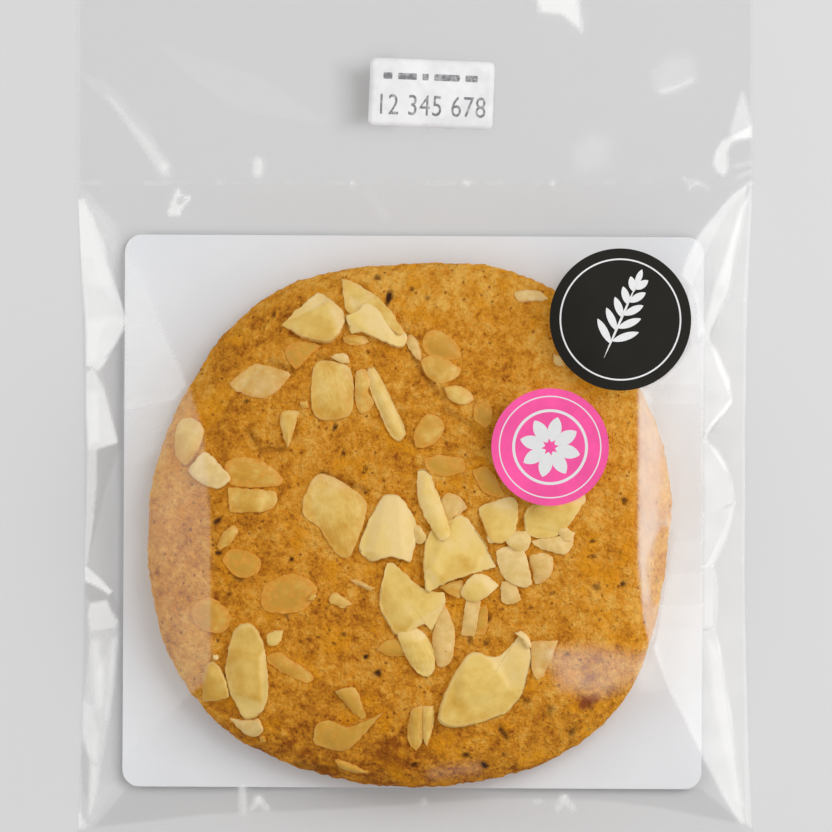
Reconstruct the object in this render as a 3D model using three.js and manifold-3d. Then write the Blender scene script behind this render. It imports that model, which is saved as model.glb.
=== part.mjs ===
// An almond orange cookie on a white card, heat-sealed in a clear bag that lies flat, with three labels on the film.
// Millimetres, +Z up, +Y towards the bag's open end. The origin is the middle of the bag's underside.
import * as THREE from "three";
import { mergeVertices } from "three/addons/utils/BufferGeometryUtils.js";
import Module from "manifold-3d";

const wasm = await Module();
wasm.setup();

// Clear distance between pieces that touch in the real object.
const GAP = 0.3;

// The bag: a tube of film sealed across near one end, and welded along the other.
const BAG_HALF_WIDTH = 60;
const BAG_HALF_LENGTH = 80;
const SEAL_Y = 38.6; // the heat seal, above which the bag stays open
const WELD_Y = -77.3; // the bottom weld, with a narrow hem below it
const FILM_THICK = 0.4;
const FLAT_THICK = 0.7; // the two films where they are pressed together
const FOLD_THICK = 0.5; // the filled part's side folds and seams
const POCKET_HALF_WIDTH = BAG_HALF_WIDTH - 0.3;
const SEAM_WIDTH = 0.5;
const SIDE_PULL = 1.4; // how far the filled bag draws its side folds in
const HEADER_PUFF = 2.2; // how far the open end's upper film stands off the lower one

// The film's tent over the cookie: a crown over its middle, then slopes down to the bag's edges.
const CROWN_HEIGHT = 13.9;
const CROWN_SAG = 1.4;
const CROWN_HALF_WIDTH = 37.6;
const CROWN_HALF_LENGTH = 41.5;
const CROWN_CORNER = 3.6;
const CROWN_SHIFT = 1.9; // the crown's middle lies this far to the right of the cookie's
const BILLOW = 0.85; // under 1 the slopes bulge outwards with the air in the bag
const CRIMP_HEIGHT = 1.3; // the buckles along the side folds
const CRIMP_PITCH = 19;

// The card under the cookie.
const CARD = { x: -0.3, y: -19.6, width: 102.4, length: 97.6, thick: 0.6, corner: 3, turn: -0.3 };

// The cookie: a rounded square in plan with a soft shoulder.
const COOKIE = { x: -0.7, y: -22.1, radius: 47.1, thick: 10.6, side: 3.4, foot: 0.96, rings: 17 };
const SHOULDER = 4; // the higher, the flatter the top
// The outline's bulges: how many round the edge, how far they stand out, and where the first one peaks, in degrees.
const BULGES = [
  { count: 2, height: 0.4, peak: 63 },
  { count: 3, height: 0.6, peak: -43 },
  { count: 4, height: 1, peak: 42 },
  { count: 6, height: 0.25, peak: 6 },
  { count: 7, height: 0.35, peak: 14 },
];

// The labels: radius or sides, and where their middles lie.
const LABEL_THICK = 0.3;
const ROUND_LABELS = [
  { name: "round_label_black", x: 36.1, y: 14.3, radius: 12.5, colour: "#1b1a17" },
  { name: "round_label_pink", x: 23.7, y: -8.1, radius: 10.3, colour: "#f0549c" },
];
const DATE_LABEL = { name: "date_label", x: 2.9, y: 54.3, width: 22, height: 12, turn: -2.3 };

// Almond slices that lie on the dough, each as large as a berry. Places are from the cookie's middle.
// An outline starts as a rounded form: corner is its exponent, where 2 is an oval and 4 a slab, and taper widens its
// far end. breaks are its straight broken edges: the way each one faces, in degrees, and how far out it lies.
const SLICES = [
  {
    name: "almond_slice_1", x: 12.9, y: -26.9, long: 20.6, wide: 13.6, turn: 48,
    corner: 2.3, taper: -0.15, thick: 1.8, breaks: [[146, 5], [94, 6.4]],
  },
  {
    name: "almond_slice_2", x: 9, y: -4.3, long: 15, wide: 10.6, turn: -40,
    corner: 2.1, thick: 1.7, breaks: [[173, 6.1], [282, 4.1]],
  },
  {
    name: "almond_slice_3", x: -0.4, y: -12.9, long: 15, wide: 12.6, turn: -60,
    corner: 2.6, thick: 1.7, breaks: [[57, 3.9], [165, 4.7], [-20, 5.5], [212, 4.8], [280, 5.3]],
  },
  {
    name: "almond_slice_4", x: 1.4, y: -22.2, long: 9.4, wide: 5.2, turn: -62,
    corner: 2, taper: 0.1, thick: 1.5, breaks: [[200, 2.4]],
  },
  {
    name: "almond_slice_5", x: -3.7, y: -0.4, long: 11.8, wide: 11, turn: 98,
    corner: 2.6, thick: 2.3, breaks: [[153, 3.9], [45, 3.8], [-15, 4.9], [268, 5.4]],
  },
  {
    name: "almond_slice_6", x: 25, y: 2.2, long: 12, wide: 8, turn: 30,
    corner: 2.5, thick: 1.6, breaks: [[110, 3.3]],
  },
  {
    name: "almond_slice_7", x: -16.5, y: 36.4, long: 11.6, wide: 9.4, turn: 8,
    corner: 2, taper: 0.1, thick: 1.5, breaks: [[132, 4], [237, 3.9]],
  },
  {
    name: "almond_slice_8", x: -6.1, y: 35.2, long: 11, wide: 5.4, turn: -27,
    corner: 3.4, thick: 2.1, breaks: [[50, 2.5]],
  },
  {
    name: "almond_slice_9", x: -28.6, y: -25.5, long: 16.8, wide: 7.3, turn: -84,
    corner: 2.2, thick: 1.6,
  },
  {
    name: "almond_slice_10", x: -12.1, y: -36.3, long: 12.6, wide: 6.4, turn: 22,
    corner: 2, taper: -0.35, thick: 1.5, breaks: [[100, 2.4]],
  },
  {
    name: "almond_slice_11", x: 3.9, y: 3.9, long: 12, wide: 3.3, turn: -68,
    corner: 2.4, thick: 1.6,
  },
  {
    name: "almond_slice_12", x: -4.2, y: 21.4, long: 13.2, wide: 3.5, turn: -63,
    corner: 3, thick: 1.7,
  },
];

// Smaller flakes and slices half sunk in the dough, fused to it. lift is the height that shows above the dough.
const FLAKES = [
  { x: 6.6, y: -19.2, long: 10.8, wide: 3.8, turn: 82, corner: 2, lift: 0.8 },
  { x: -7.6, y: 39.5, long: 13.2, wide: 5.2, turn: -41, corner: 2, taper: 0.1, lift: 0.7, breaks: [[185, 4.2]] },
  { x: -13.8, y: 24.1, long: 10.4, wide: 7.2, turn: 88, corner: 4, lift: 1 },
  { x: -13.3, y: 2.1, long: 13.6, wide: 10, turn: -58, corner: 3, lift: 0.9, breaks: [[200, 5]] },
  { x: -27.4, y: 5.2, long: 9.6, wide: 5, turn: 0, corner: 4, lift: 0.8 },
  { x: -28.4, y: 9.4, long: 10.6, wide: 4.2, turn: -14, corner: 2.6, lift: 0.4 },
  { x: -21.2, y: -11.7, long: 10.4, wide: 7, turn: 12, corner: 2.4, lift: 0.35 },
  { x: -26.4, y: 25.8, long: 10.4, wide: 5, turn: -5, corner: 2.4, lift: 0.4, breaks: [[40, 3.4]] },
  { x: -18, y: 30.6, long: 8.4, wide: 4, turn: 15, corner: 2.6, lift: 0.35 },
  { x: -39.1, y: 15.2, long: 8, wide: 6, turn: -65, corner: 2.4, taper: -0.1, lift: 0.8, breaks: [[215, 2.4]] },
  { x: -35.2, y: 10, long: 7.6, wide: 5.6, turn: -35, corner: 3.2, lift: 1.4, breaks: [[235, 2.3], [60, 2.3]] },
  { x: -35, y: -15.4, long: 7.6, wide: 5, turn: -10, corner: 2.4, lift: 0.4 },
  { x: -34.4, y: -27.2, long: 8, wide: 5, turn: 80, corner: 2.6, taper: -0.2, lift: 0.9, breaks: [[-82, 2.9]] },
  { x: -21.2, y: -24.6, long: 9.8, wide: 2.8, turn: -32, corner: 2.2, taper: 0.2, lift: 0.5 },
  { x: -10.3, y: -30.6, long: 6.8, wide: 3.8, turn: -52, corner: 2, taper: -0.4, lift: 0.8, breaks: [[200, 2]] },
  { x: 0.6, y: -35.6, long: 9, wide: 2.7, turn: 80, corner: 2, lift: 0.8 },
  { x: 3.5, y: -34.6, long: 7.6, wide: 2.4, turn: 76, corner: 2, lift: 0.7 },
  { x: -8.3, y: 23.9, long: 7.8, wide: 2.8, turn: 85, corner: 2.6, lift: 0.8 },
  { x: -12.9, y: 29.9, long: 4.4, wide: 1.6, turn: -25, corner: 2, lift: 0.8 },
  { x: -21.2, y: 17, long: 6.8, wide: 3, turn: -84, corner: 1.8, taper: -0.4, lift: 0.7 },
  { x: 5.3, y: 31.6, long: 7, wide: 4, turn: -25, corner: 2.2, lift: 0.35 },
  { x: 5.3, y: 27.6, long: 7.4, wide: 4, turn: -22, corner: 2, lift: 0.7 },
  { x: 8.5, y: 23.5, long: 5, wide: 3, turn: -20, corner: 2.4, lift: 0.6 },
  { x: 2.9, y: 16.4, long: 6.4, wide: 5, turn: 60, corner: 2.2, lift: 0.5 },
  { x: 15.2, y: 1.6, long: 7.2, wide: 6, turn: 0, corner: 3, taper: 0.15, lift: 0.9 },
  { x: 7.6, y: 3.6, long: 5, wide: 4, turn: -40, corner: 2.6, lift: 0.6 },
  { x: 25.4, y: -3.2, long: 7.6, wide: 2.4, turn: -20, corner: 2.4, lift: 0.8 },
  { x: 20.4, y: -1.8, long: 4.2, wide: 2.6, turn: 40, corner: 2.6, lift: 0.7 },
  { x: 18.2, y: -6.6, long: 7.4, wide: 5.2, turn: 104, corner: 3.6, lift: 1 },
  { x: 23, y: -6.4, long: 6.2, wide: 3.8, turn: 80, corner: 3, lift: 0.6 },
  { x: 17.4, y: -11.4, long: 3.8, wide: 3.2, turn: 90, corner: 2.6, lift: 0.6 },
  { x: 12.3, y: -10.7, long: 7.4, wide: 4.4, turn: 12, corner: 2.4, lift: 1.1, breaks: [[120, 1.7]] },
  { x: 6.4, y: -10.6, long: 4.4, wide: 1.8, turn: 10, corner: 2.2, lift: 0.5 },
  { x: 11, y: -16.4, long: 7, wide: 3.9, turn: 85, corner: 3, lift: 0.8 },
  { x: -3.2, y: -21, long: 5, wide: 3, turn: -12, corner: 2.2, lift: 0.6 },
  { x: 24, y: -22.3, long: 6.6, wide: 5.2, turn: 50, corner: 2, taper: 0.3, lift: 0.4, breaks: [[90, 1.7]] },
  { x: 21.2, y: 40.4, long: 6.4, wide: 2.2, turn: -3, corner: 2.6, lift: 0.6 },
  { x: -12.7, y: -12.7, long: 4.8, wide: 2.2, turn: -25, corner: 2, lift: 0.7 },
  { x: -23.9, y: -19.4, long: 3, wide: 2.5, turn: 15, corner: 3, lift: 0.8 },
  { x: -32.2, y: -1.6, long: 5, wide: 2.5, turn: 45, corner: 2, lift: 0.5 },
  { x: -28.5, y: -5.1, long: 5, wide: 3.4, turn: -35, corner: 2.2, lift: 0.35 },
  { x: -28.7, y: -35.4, long: 6.6, wide: 3.2, turn: -28, corner: 2.4, lift: 0.7 },
  { x: -10.4, y: -42, long: 6, wide: 2, turn: -24, corner: 2, lift: 0.6 },
];

const radians = THREE.MathUtils.degToRad;
const smoothstep = THREE.MathUtils.smoothstep;
const clamp = THREE.MathUtils.clamp;

// A geometry as a solid, with its shared corners merged.
function solidOf(geometry) {
  const bare = geometry.clone();
  bare.deleteAttribute("normal");
  bare.deleteAttribute("uv");
  const merged = mergeVertices(bare, 1e-4);
  const vertProperties = merged.attributes.position.array;
  const triVerts = new Uint32Array(merged.index.array);
  return new wasm.Manifold(new wasm.Mesh({ numProp: 3, vertProperties, triVerts }));
}

// A solid as a geometry for a mesh.
function geometryOf(solid) {
  const mesh = solid.getMesh();
  const geometry = new THREE.BufferGeometry();
  geometry.setAttribute("position", new THREE.BufferAttribute(mesh.vertProperties, 3));
  geometry.setIndex(new THREE.BufferAttribute(mesh.triVerts, 1));
  geometry.computeVertexNormals();
  return geometry;
}

// Closed geometry from points and triangles.
function closedGeometry(points, faces) {
  const geometry = new THREE.BufferGeometry();
  geometry.setAttribute("position", new THREE.Float32BufferAttribute(points.flat(), 3));
  geometry.setIndex(faces.flat());
  return geometry;
}

// Smooth noise from -1 to 1 on a grid of cells, the same on every run.
function noise(x, y, cell, seed) {
  const hash = (i, j) => {
    const wave = Math.sin(i * 127.1 + j * 311.7 + seed * 74.7) * 43758.5453;
    return 2 * (wave - Math.floor(wave)) - 1;
  };
  const u = x / cell;
  const v = y / cell;
  const i = Math.floor(u);
  const j = Math.floor(v);
  const a = smoothstep(u - i, 0, 1);
  const b = smoothstep(v - j, 0, 1);
  const low = hash(i, j) * (1 - a) + hash(i + 1, j) * a;
  const high = hash(i, j + 1) * (1 - a) + hash(i + 1, j + 1) * a;
  return low * (1 - b) + high * b;
}

// The cookie's radius in plan: a rounded square, a little lopsided.
function cookieRadius(angle) {
  let radius = COOKIE.radius;
  for (const { count, height, peak } of BULGES) radius += height * Math.cos(count * (angle - radians(peak)));
  return radius;
}

const COOKIE_BASE = FILM_THICK + GAP + CARD.thick + GAP;

// The dough's top at a place counted from the cookie's middle.
function doughTop(x, y) {
  const share = Math.min(Math.hypot(x, y) / cookieRadius(Math.atan2(y, x)), 1);
  const dome = COOKIE.side + (COOKIE.thick - COOKIE.side) * Math.sqrt(1 - share ** SHOULDER);
  const lumps = 0.35 * noise(x, y, 8, 1) + 0.25 * noise(x, y, 4.2, 2);
  return COOKIE_BASE + dome + lumps * (1 - share ** 8);
}

// The dough as rings of points: each ring of the top has six more points than the one inside it.
function doughSolid() {
  const points = [[0, 0, doughTop(0, 0)]];
  const faces = [];
  const ringStart = (ring) => 1 + 3 * ring * (ring - 1);
  for (let ring = 1; ring <= COOKIE.rings; ring++) {
    const share = 1 - (1 - ring / COOKIE.rings) ** 1.35;
    const count = 6 * ring;
    for (let i = 0; i < count; i++) {
      const angle = (2 * Math.PI * i) / count;
      const reach = cookieRadius(angle) * share;
      const x = reach * Math.cos(angle);
      const y = reach * Math.sin(angle);
      points.push([x, y, doughTop(x, y)]);
    }
    const inner = ringStart(ring - 1);
    const outer = ringStart(ring);
    const innerCount = 6 * (ring - 1);
    for (let side = 0; side < 6; side++) {
      for (let step = 0; step < ring; step++) {
        const a = outer + side * ring + step;
        const b = outer + ((side * ring + step + 1) % count);
        const c = ring === 1 ? 0 : inner + ((side * (ring - 1) + step) % innerCount);
        faces.push([a, b, c]);
        if (step < ring - 1) {
          const d = inner + ((side * (ring - 1) + step + 1) % innerCount);
          faces.push([b, d, c]);
        }
      }
    }
  }
  const count = 6 * COOKIE.rings;
  const sides = [
    { share: 0.995, height: COOKIE.side * 0.5 },
    { share: 0.985, height: COOKIE.side * 0.2 },
    { share: COOKIE.foot, height: 0 },
  ];
  let upper = ringStart(COOKIE.rings);
  for (const { share, height } of sides) {
    const lower = points.length;
    for (let i = 0; i < count; i++) {
      const angle = (2 * Math.PI * i) / count;
      const reach = cookieRadius(angle) * share;
      points.push([reach * Math.cos(angle), reach * Math.sin(angle), COOKIE_BASE + height]);
    }
    for (let i = 0; i < count; i++) {
      const next = (i + 1) % count;
      faces.push([upper + i, lower + i, lower + next]);
      faces.push([upper + i, lower + next, upper + next]);
    }
    upper = lower;
  }
  const foot = points.length;
  points.push([0, 0, COOKIE_BASE]);
  for (let i = 0; i < count; i++) faces.push([upper + i, foot, upper + ((i + 1) % count)]);
  return solidOf(closedGeometry(points, faces));
}

// An almond piece's outline round its middle: a rounded, tapered form, cut back along its broken edges.
function pieceShape({ long, wide, turn, corner, taper = 0, breaks = [] }, grow, sides) {
  const outline = [];
  for (let i = 0; i < sides; i++) {
    const angle = (2 * Math.PI * i) / sides;
    const flat = (Math.abs(Math.cos(angle)) ** corner + Math.abs(Math.sin(angle)) ** corner) ** (-1 / corner);
    const along = (flat * Math.cos(angle) * long) / 2;
    const across = ((flat * Math.sin(angle) * wide) / 2) * (1 + (taper * along * 2) / long);
    const facing = Math.atan2(across, along) + radians(turn);
    let reach = Math.hypot(along, across);
    for (const [way, distance] of breaks) {
      const towards = Math.cos(facing - radians(way));
      if (towards > 0) reach = Math.min(reach, distance / towards);
    }
    outline.push(new THREE.Vector2((reach + grow) * Math.cos(facing), (reach + grow) * Math.sin(facing)));
  }
  return new THREE.Shape(outline);
}

// The dough's slope under a piece, as the turn that lays the piece on it.
function layOn(x, y, reach) {
  const rise = (doughTop(x + reach, y) - doughTop(x - reach, y)) / (2 * reach);
  const climb = (doughTop(x, y + reach) - doughTop(x, y - reach)) / (2 * reach);
  const up = new THREE.Vector3(-rise, -climb, 1).normalize();
  return new THREE.Quaternion().setFromUnitVectors(new THREE.Vector3(0, 0, 1), up);
}

// A piece of almond laid on the dough at its place, its underside at the given depth below the surface.
function laidPiece(piece, { grow, below, above, sides }) {
  const depth = below + above;
  const geometry = new THREE.ExtrudeGeometry(pieceShape(piece, grow, sides), { depth, bevelEnabled: false });
  geometry.translate(0, 0, -below);
  geometry.applyQuaternion(layOn(piece.x, piece.y, piece.wide / 2));
  geometry.translate(piece.x, piece.y, doughTop(piece.x, piece.y));
  return solidOf(geometry);
}

const SLICE_SIDES = 20;
const FLAKE_SIDES = 10;
const SLICE_BED = 0.9; // how deep a slice is pressed into the dough
const CLEARANCE = GAP + 0.05;

const sliceSolids = SLICES.map((slice) =>
  laidPiece(slice, { grow: 0, below: SLICE_BED, above: slice.thick - SLICE_BED, sides: SLICE_SIDES }),
);
// A slice that lies over another one is cut back where the two would meet.
SLICES.forEach((slice, index) => {
  for (let over = 0; over < index; over++) {
    const other = SLICES[over];
    if (Math.hypot(slice.x - other.x, slice.y - other.y) > (slice.long + other.long) / 2 + 1) continue;
    const room = laidPiece(other, { grow: CLEARANCE, below: 5, above: 5, sides: SLICE_SIDES });
    sliceSolids[index] = sliceSolids[index].subtract(room);
  }
});

let cookieSolid = doughSolid();
for (const flake of FLAKES)
  cookieSolid = cookieSolid.add(laidPiece(flake, { grow: 0, below: 1.2, above: flake.lift, sides: FLAKE_SIDES }));
for (const slice of SLICES)
  cookieSolid = cookieSolid.subtract(
    laidPiece(slice, { grow: CLEARANCE, below: SLICE_BED + CLEARANCE, above: 5, sides: SLICE_SIDES }),
  );

// How far the crown reaches from its middle at an angle.
function crownReach(angle) {
  const across = Math.abs(Math.cos(angle) / CROWN_HALF_WIDTH) ** CROWN_CORNER;
  const along = Math.abs(Math.sin(angle) / CROWN_HALF_LENGTH) ** CROWN_CORNER;
  return (across + along) ** (-1 / CROWN_CORNER);
}

const CROWN_X = COOKIE.x + CROWN_SHIFT;

// How far the pocket reaches from the crown's middle at an angle, to its seams and side folds.
function pocketReach(angle) {
  const cos = Math.cos(angle);
  const sin = Math.sin(angle);
  const across = (cos > 0 ? POCKET_HALF_WIDTH - CROWN_X : POCKET_HALF_WIDTH + CROWN_X) / Math.max(Math.abs(cos), 1e-9);
  const along = (sin > 0 ? SEAL_Y - COOKIE.y : COOKIE.y - WELD_Y) / Math.max(Math.abs(sin), 1e-9);
  return Math.min(across, along);
}

// The upper film's height over the pocket.
function filmTop(x, y) {
  const angle = Math.atan2(y - COOKIE.y, x - CROWN_X);
  const reach = Math.hypot(x - CROWN_X, y - COOKIE.y);
  const inner = crownReach(angle);
  const share = clamp((reach - inner) / (pocketReach(angle) - inner), 0, 1);
  const crown = CROWN_HEIGHT - CROWN_SAG * Math.min(reach / inner, 1) ** 2;
  const slope = FOLD_THICK + (crown - FOLD_THICK) * (1 - share) ** BILLOW;
  const buckle = Math.abs(((y / CRIMP_PITCH + (x > 0 ? 0.25 : 0)) % 1) * 2 - 1) - 0.5;
  const atSides = smoothstep(Math.abs(x), 47, 56) * smoothstep(share, 0.3, 0.75) * (1 - share ** 6);
  return Math.max(slope + CRIMP_HEIGHT * buckle * atSides, FOLD_THICK);
}

// The side folds draw in where the pocket is full.
function drawnIn(x, y) {
  const along = clamp((y - WELD_Y) / (SEAL_Y - WELD_Y), 0, 1);
  return x - Math.sign(x) * SIDE_PULL * Math.sin(Math.PI * along) * Math.abs(x / POCKET_HALF_WIDTH) ** 6;
}

// The pocket, solid up to its film, as rings from the crown out to the seams.
function pocketSolid() {
  const columns = 132;
  const crownShares = [0.6, 0.94, 1];
  const rings = crownShares.length + 7;
  const points = [[CROWN_X, COOKIE.y, filmTop(CROWN_X, COOKIE.y)]];
  const faces = [];
  const perimeter = (column) => {
    // Columns are spaced evenly along the pocket's edge.
    const height = SEAL_Y - WELD_Y;
    const width = 2 * POCKET_HALF_WIDTH;
    const run = (column / columns) * 2 * (height + width);
    const legs = [
      [POCKET_HALF_WIDTH, COOKIE.y + run],
      [POCKET_HALF_WIDTH - (run - (SEAL_Y - COOKIE.y)), SEAL_Y],
      [-POCKET_HALF_WIDTH, SEAL_Y - (run - (SEAL_Y - COOKIE.y) - width)],
      [-POCKET_HALF_WIDTH + (run - (SEAL_Y - COOKIE.y) - width - height), WELD_Y],
      [POCKET_HALF_WIDTH, WELD_Y + (run - (SEAL_Y - COOKIE.y) - 2 * width - height)],
    ];
    const ends = [SEAL_Y - COOKIE.y, width, height, width, COOKIE.y - WELD_Y];
    let leg = 0;
    for (let past = 0; leg < 4 && run > past + ends[leg]; leg++) past += ends[leg];
    return legs[leg];
  };
  for (let ring = 1; ring <= rings; ring++) {
    for (let column = 0; column < columns; column++) {
      const [edgeX, edgeY] = perimeter(column);
      const angle = Math.atan2(edgeY - COOKIE.y, edgeX - CROWN_X);
      const whole = pocketReach(angle);
      const inner = Math.min(crownReach(angle), whole - 4);
      const outward = (ring - crownShares.length) / (rings - crownShares.length);
      const reach = outward <= 0 ? inner * crownShares[ring - 1] : inner + (whole - inner) * outward;
      const x = CROWN_X + reach * Math.cos(angle);
      const y = COOKIE.y + reach * Math.sin(angle);
      points.push([drawnIn(x, y), y, filmTop(x, y)]);
    }
  }
  const at = (ring, column) => (ring === 0 ? 0 : 1 + (ring - 1) * columns + (column % columns));
  for (let column = 0; column < columns; column++) {
    faces.push([0, at(1, column), at(1, column + 1)]);
    for (let ring = 1; ring < rings; ring++) {
      faces.push([at(ring, column), at(ring + 1, column), at(ring + 1, column + 1)]);
      faces.push([at(ring, column), at(ring + 1, column + 1), at(ring, column + 1)]);
    }
  }
  const floor = points.length;
  for (let column = 0; column < columns; column++) {
    const [x, y] = points[at(rings, column)];
    points.push([x, y, 0]);
  }
  const middle = points.length;
  points.push([CROWN_X, COOKIE.y, 0]);
  for (let column = 0; column < columns; column++) {
    const next = (column + 1) % columns;
    faces.push([at(rings, column), floor + column, floor + next]);
    faces.push([at(rings, column), floor + next, at(rings, next)]);
    faces.push([floor + column, middle, floor + next]);
  }
  return solidOf(closedGeometry(points, faces));
}

// The open end's upper film: flat at the seal and the side folds, standing off in between, with loose waves.
function headerTop(x, y) {
  const up = (y - SEAL_Y) / (BAG_HALF_LENGTH - SEAL_Y);
  const arch = (1 - (x / BAG_HALF_WIDTH) ** 2) * smoothstep(up, 0, 0.35);
  const waves = 1 + 0.18 * noise(x, y, 21, 8);
  return FLAT_THICK + HEADER_PUFF * arch * waves;
}

// A sheet with a flat underside at z = 0 and the given top, over a rectangle.
function sheetSolid({ left, right, near, far, columns, rows, top }) {
  const points = [];
  const faces = [];
  for (let row = 0; row <= rows; row++)
    for (let column = 0; column <= columns; column++) {
      const x = left + ((right - left) * column) / columns;
      const y = near + ((far - near) * row) / rows;
      points.push([x, y, top(x, y)], [x, y, 0]);
    }
  const at = (row, column, under) => 2 * (row * (columns + 1) + column) + under;
  for (let row = 0; row < rows; row++)
    for (let column = 0; column < columns; column++) {
      const upper = [at(row, column, 0), at(row, column + 1, 0), at(row + 1, column + 1, 0), at(row + 1, column, 0)];
      const lower = upper.map((index) => index + 1);
      faces.push([upper[0], upper[1], upper[2]], [upper[0], upper[2], upper[3]]);
      faces.push([lower[0], lower[2], lower[1]], [lower[0], lower[3], lower[2]]);
    }
  const wall = (from, to) => faces.push([from, from + 1, to + 1], [from, to + 1, to]);
  for (let column = 0; column < columns; column++) {
    wall(at(0, column, 0), at(0, column + 1, 0));
    wall(at(rows, column + 1, 0), at(rows, column, 0));
  }
  for (let row = 0; row < rows; row++) {
    wall(at(row, columns, 0), at(row + 1, columns, 0));
    wall(at(row + 1, 0, 0), at(row, 0, 0));
  }
  return solidOf(closedGeometry(points, faces));
}

// A card's or label's outline with round corners, its middle at the origin.
function roundedRectangle(width, height, corner) {
  const x = width / 2;
  const y = height / 2;
  const shape = new THREE.Shape();
  shape.moveTo(x, y - corner);
  shape.absarc(x - corner, y - corner, corner, 0, Math.PI / 2);
  shape.absarc(corner - x, y - corner, corner, Math.PI / 2, Math.PI);
  shape.absarc(corner - x, corner - y, corner, Math.PI, 1.5 * Math.PI);
  shape.absarc(x - corner, corner - y, corner, 1.5 * Math.PI, 2 * Math.PI);
  return shape;
}

// The card, or the room that it takes up in the bag.
function cardSolid(grow) {
  const shape = roundedRectangle(CARD.width + 2 * grow, CARD.length + 2 * grow, CARD.corner + grow);
  const depth = CARD.thick + 2 * grow;
  const geometry = new THREE.ExtrudeGeometry(shape, { depth, bevelEnabled: false, curveSegments: 5 });
  geometry.rotateZ(radians(CARD.turn));
  geometry.translate(CARD.x, CARD.y, FILM_THICK + GAP - grow);
  return solidOf(geometry);
}

// The room round the cookie, open upwards.
function cookieRoom() {
  const outline = [];
  const sides = 72;
  for (let i = 0; i < sides; i++) {
    const angle = (2 * Math.PI * i) / sides;
    const reach = cookieRadius(angle) + 2 * GAP;
    outline.push(new THREE.Vector2(reach * Math.cos(angle), reach * Math.sin(angle)));
  }
  const geometry = new THREE.ExtrudeGeometry(new THREE.Shape(outline), { depth: 20, bevelEnabled: false });
  geometry.translate(COOKIE.x, COOKIE.y, FILM_THICK + GAP + CARD.thick / 2);
  return solidOf(geometry);
}

function bagSolid() {
  const header = sheetSolid({
    left: -BAG_HALF_WIDTH,
    right: BAG_HALF_WIDTH,
    near: SEAL_Y - SEAM_WIDTH,
    far: BAG_HALF_LENGTH,
    columns: 20,
    rows: 9,
    top: headerTop,
  });
  const hem = sheetSolid({
    left: -BAG_HALF_WIDTH,
    right: BAG_HALF_WIDTH,
    near: -BAG_HALF_LENGTH,
    far: WELD_Y + SEAM_WIDTH,
    columns: 1,
    rows: 1,
    top: () => FLAT_THICK,
  });
  return pocketSolid().add(header).add(hem).subtract(cardSolid(GAP)).subtract(cookieRoom());
}

// A round label, draped over the film on rings of points.
function roundLabelSolid({ x, y, radius }) {
  const points = [];
  const faces = [];
  const rings = 3;
  const around = 36;
  for (const lift of [GAP, GAP + LABEL_THICK]) {
    points.push([x, y, filmTop(x, y) + lift]);
    for (let ring = 1; ring <= rings; ring++)
      for (let i = 0; i < around; i++) {
        const angle = (2 * Math.PI * i) / around;
        const px = x + ((radius * ring) / rings) * Math.cos(angle);
        const py = y + ((radius * ring) / rings) * Math.sin(angle);
        points.push([px, py, filmTop(px, py) + lift]);
      }
  }
  const layer = 1 + rings * around;
  const at = (ring, i) => 1 + (ring - 1) * around + (i % around);
  for (let i = 0; i < around; i++) {
    faces.push([layer, layer + at(1, i), layer + at(1, i + 1)], [0, at(1, i + 1), at(1, i)]);
    for (let ring = 1; ring < rings; ring++) {
      const [a, b, c, d] = [at(ring, i), at(ring + 1, i), at(ring + 1, i + 1), at(ring, i + 1)];
      faces.push([layer + a, layer + b, layer + c], [layer + a, layer + c, layer + d]);
      faces.push([a, c, b], [a, d, c]);
    }
    const [low, next] = [at(rings, i), at(rings, i + 1)];
    faces.push([low, next, layer + next], [low, layer + next, layer + low]);
  }
  return solidOf(closedGeometry(points, faces));
}

// The date label lies across the open end's upper film.
function dateLabelSolid() {
  const shape = roundedRectangle(DATE_LABEL.width, DATE_LABEL.height, 0.8);
  const geometry = new THREE.ExtrudeGeometry(shape, { depth: LABEL_THICK, bevelEnabled: false, curveSegments: 3 });
  geometry.rotateZ(radians(DATE_LABEL.turn));
  let highest = 0;
  for (let u = -1; u <= 1; u += 0.25)
    for (let v = -1; v <= 1; v += 0.25)
      highest = Math.max(
        highest,
        headerTop(DATE_LABEL.x + (u * DATE_LABEL.width) / 2, DATE_LABEL.y + (v * DATE_LABEL.height) / 2),
      );
  geometry.translate(DATE_LABEL.x, DATE_LABEL.y, highest + GAP);
  return solidOf(geometry);
}

const dough = new THREE.MeshStandardMaterial({ color: "#c4853a", roughness: 0.85, metalness: 0 });
const almond = new THREE.MeshStandardMaterial({ color: "#e6c98a", roughness: 0.5, metalness: 0 });
const film = new THREE.MeshStandardMaterial({ color: "#eef0f0", roughness: 0.1, metalness: 0, transparent: true, opacity: 0.35 });
const board = new THREE.MeshStandardMaterial({ color: "#f2f2f4", roughness: 0.6, metalness: 0 });
const paper = new THREE.MeshStandardMaterial({ color: "#f4f4f4", roughness: 0.5, metalness: 0 });

const pack = new THREE.Group();

function addNode(name, solid, material, parent) {
  const mesh = new THREE.Mesh(geometryOf(solid), material);
  mesh.name = name;
  parent.add(mesh);
}

const cookie = new THREE.Group();
cookie.position.set(COOKIE.x, COOKIE.y, 0);
pack.add(cookie);
addNode("cookie", cookieSolid, dough, cookie);
SLICES.forEach((slice, index) => addNode(slice.name, sliceSolids[index], almond, cookie));

addNode("card", cardSolid(0), board, pack);
addNode("bag", bagSolid(), film, pack);
for (const label of ROUND_LABELS) {
  const ink = new THREE.MeshStandardMaterial({ color: label.colour, roughness: 0.45, metalness: 0 });
  addNode(label.name, roundLabelSolid(label), ink, pack);
}
addNode(DATE_LABEL.name, dateLabelSolid(), paper, pack);

export default pack;
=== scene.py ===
"""An almond orange cookie on a white card, heat-sealed in a clear bag with three plain labels on it."""

import math
import random
from collections import namedtuple

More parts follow.
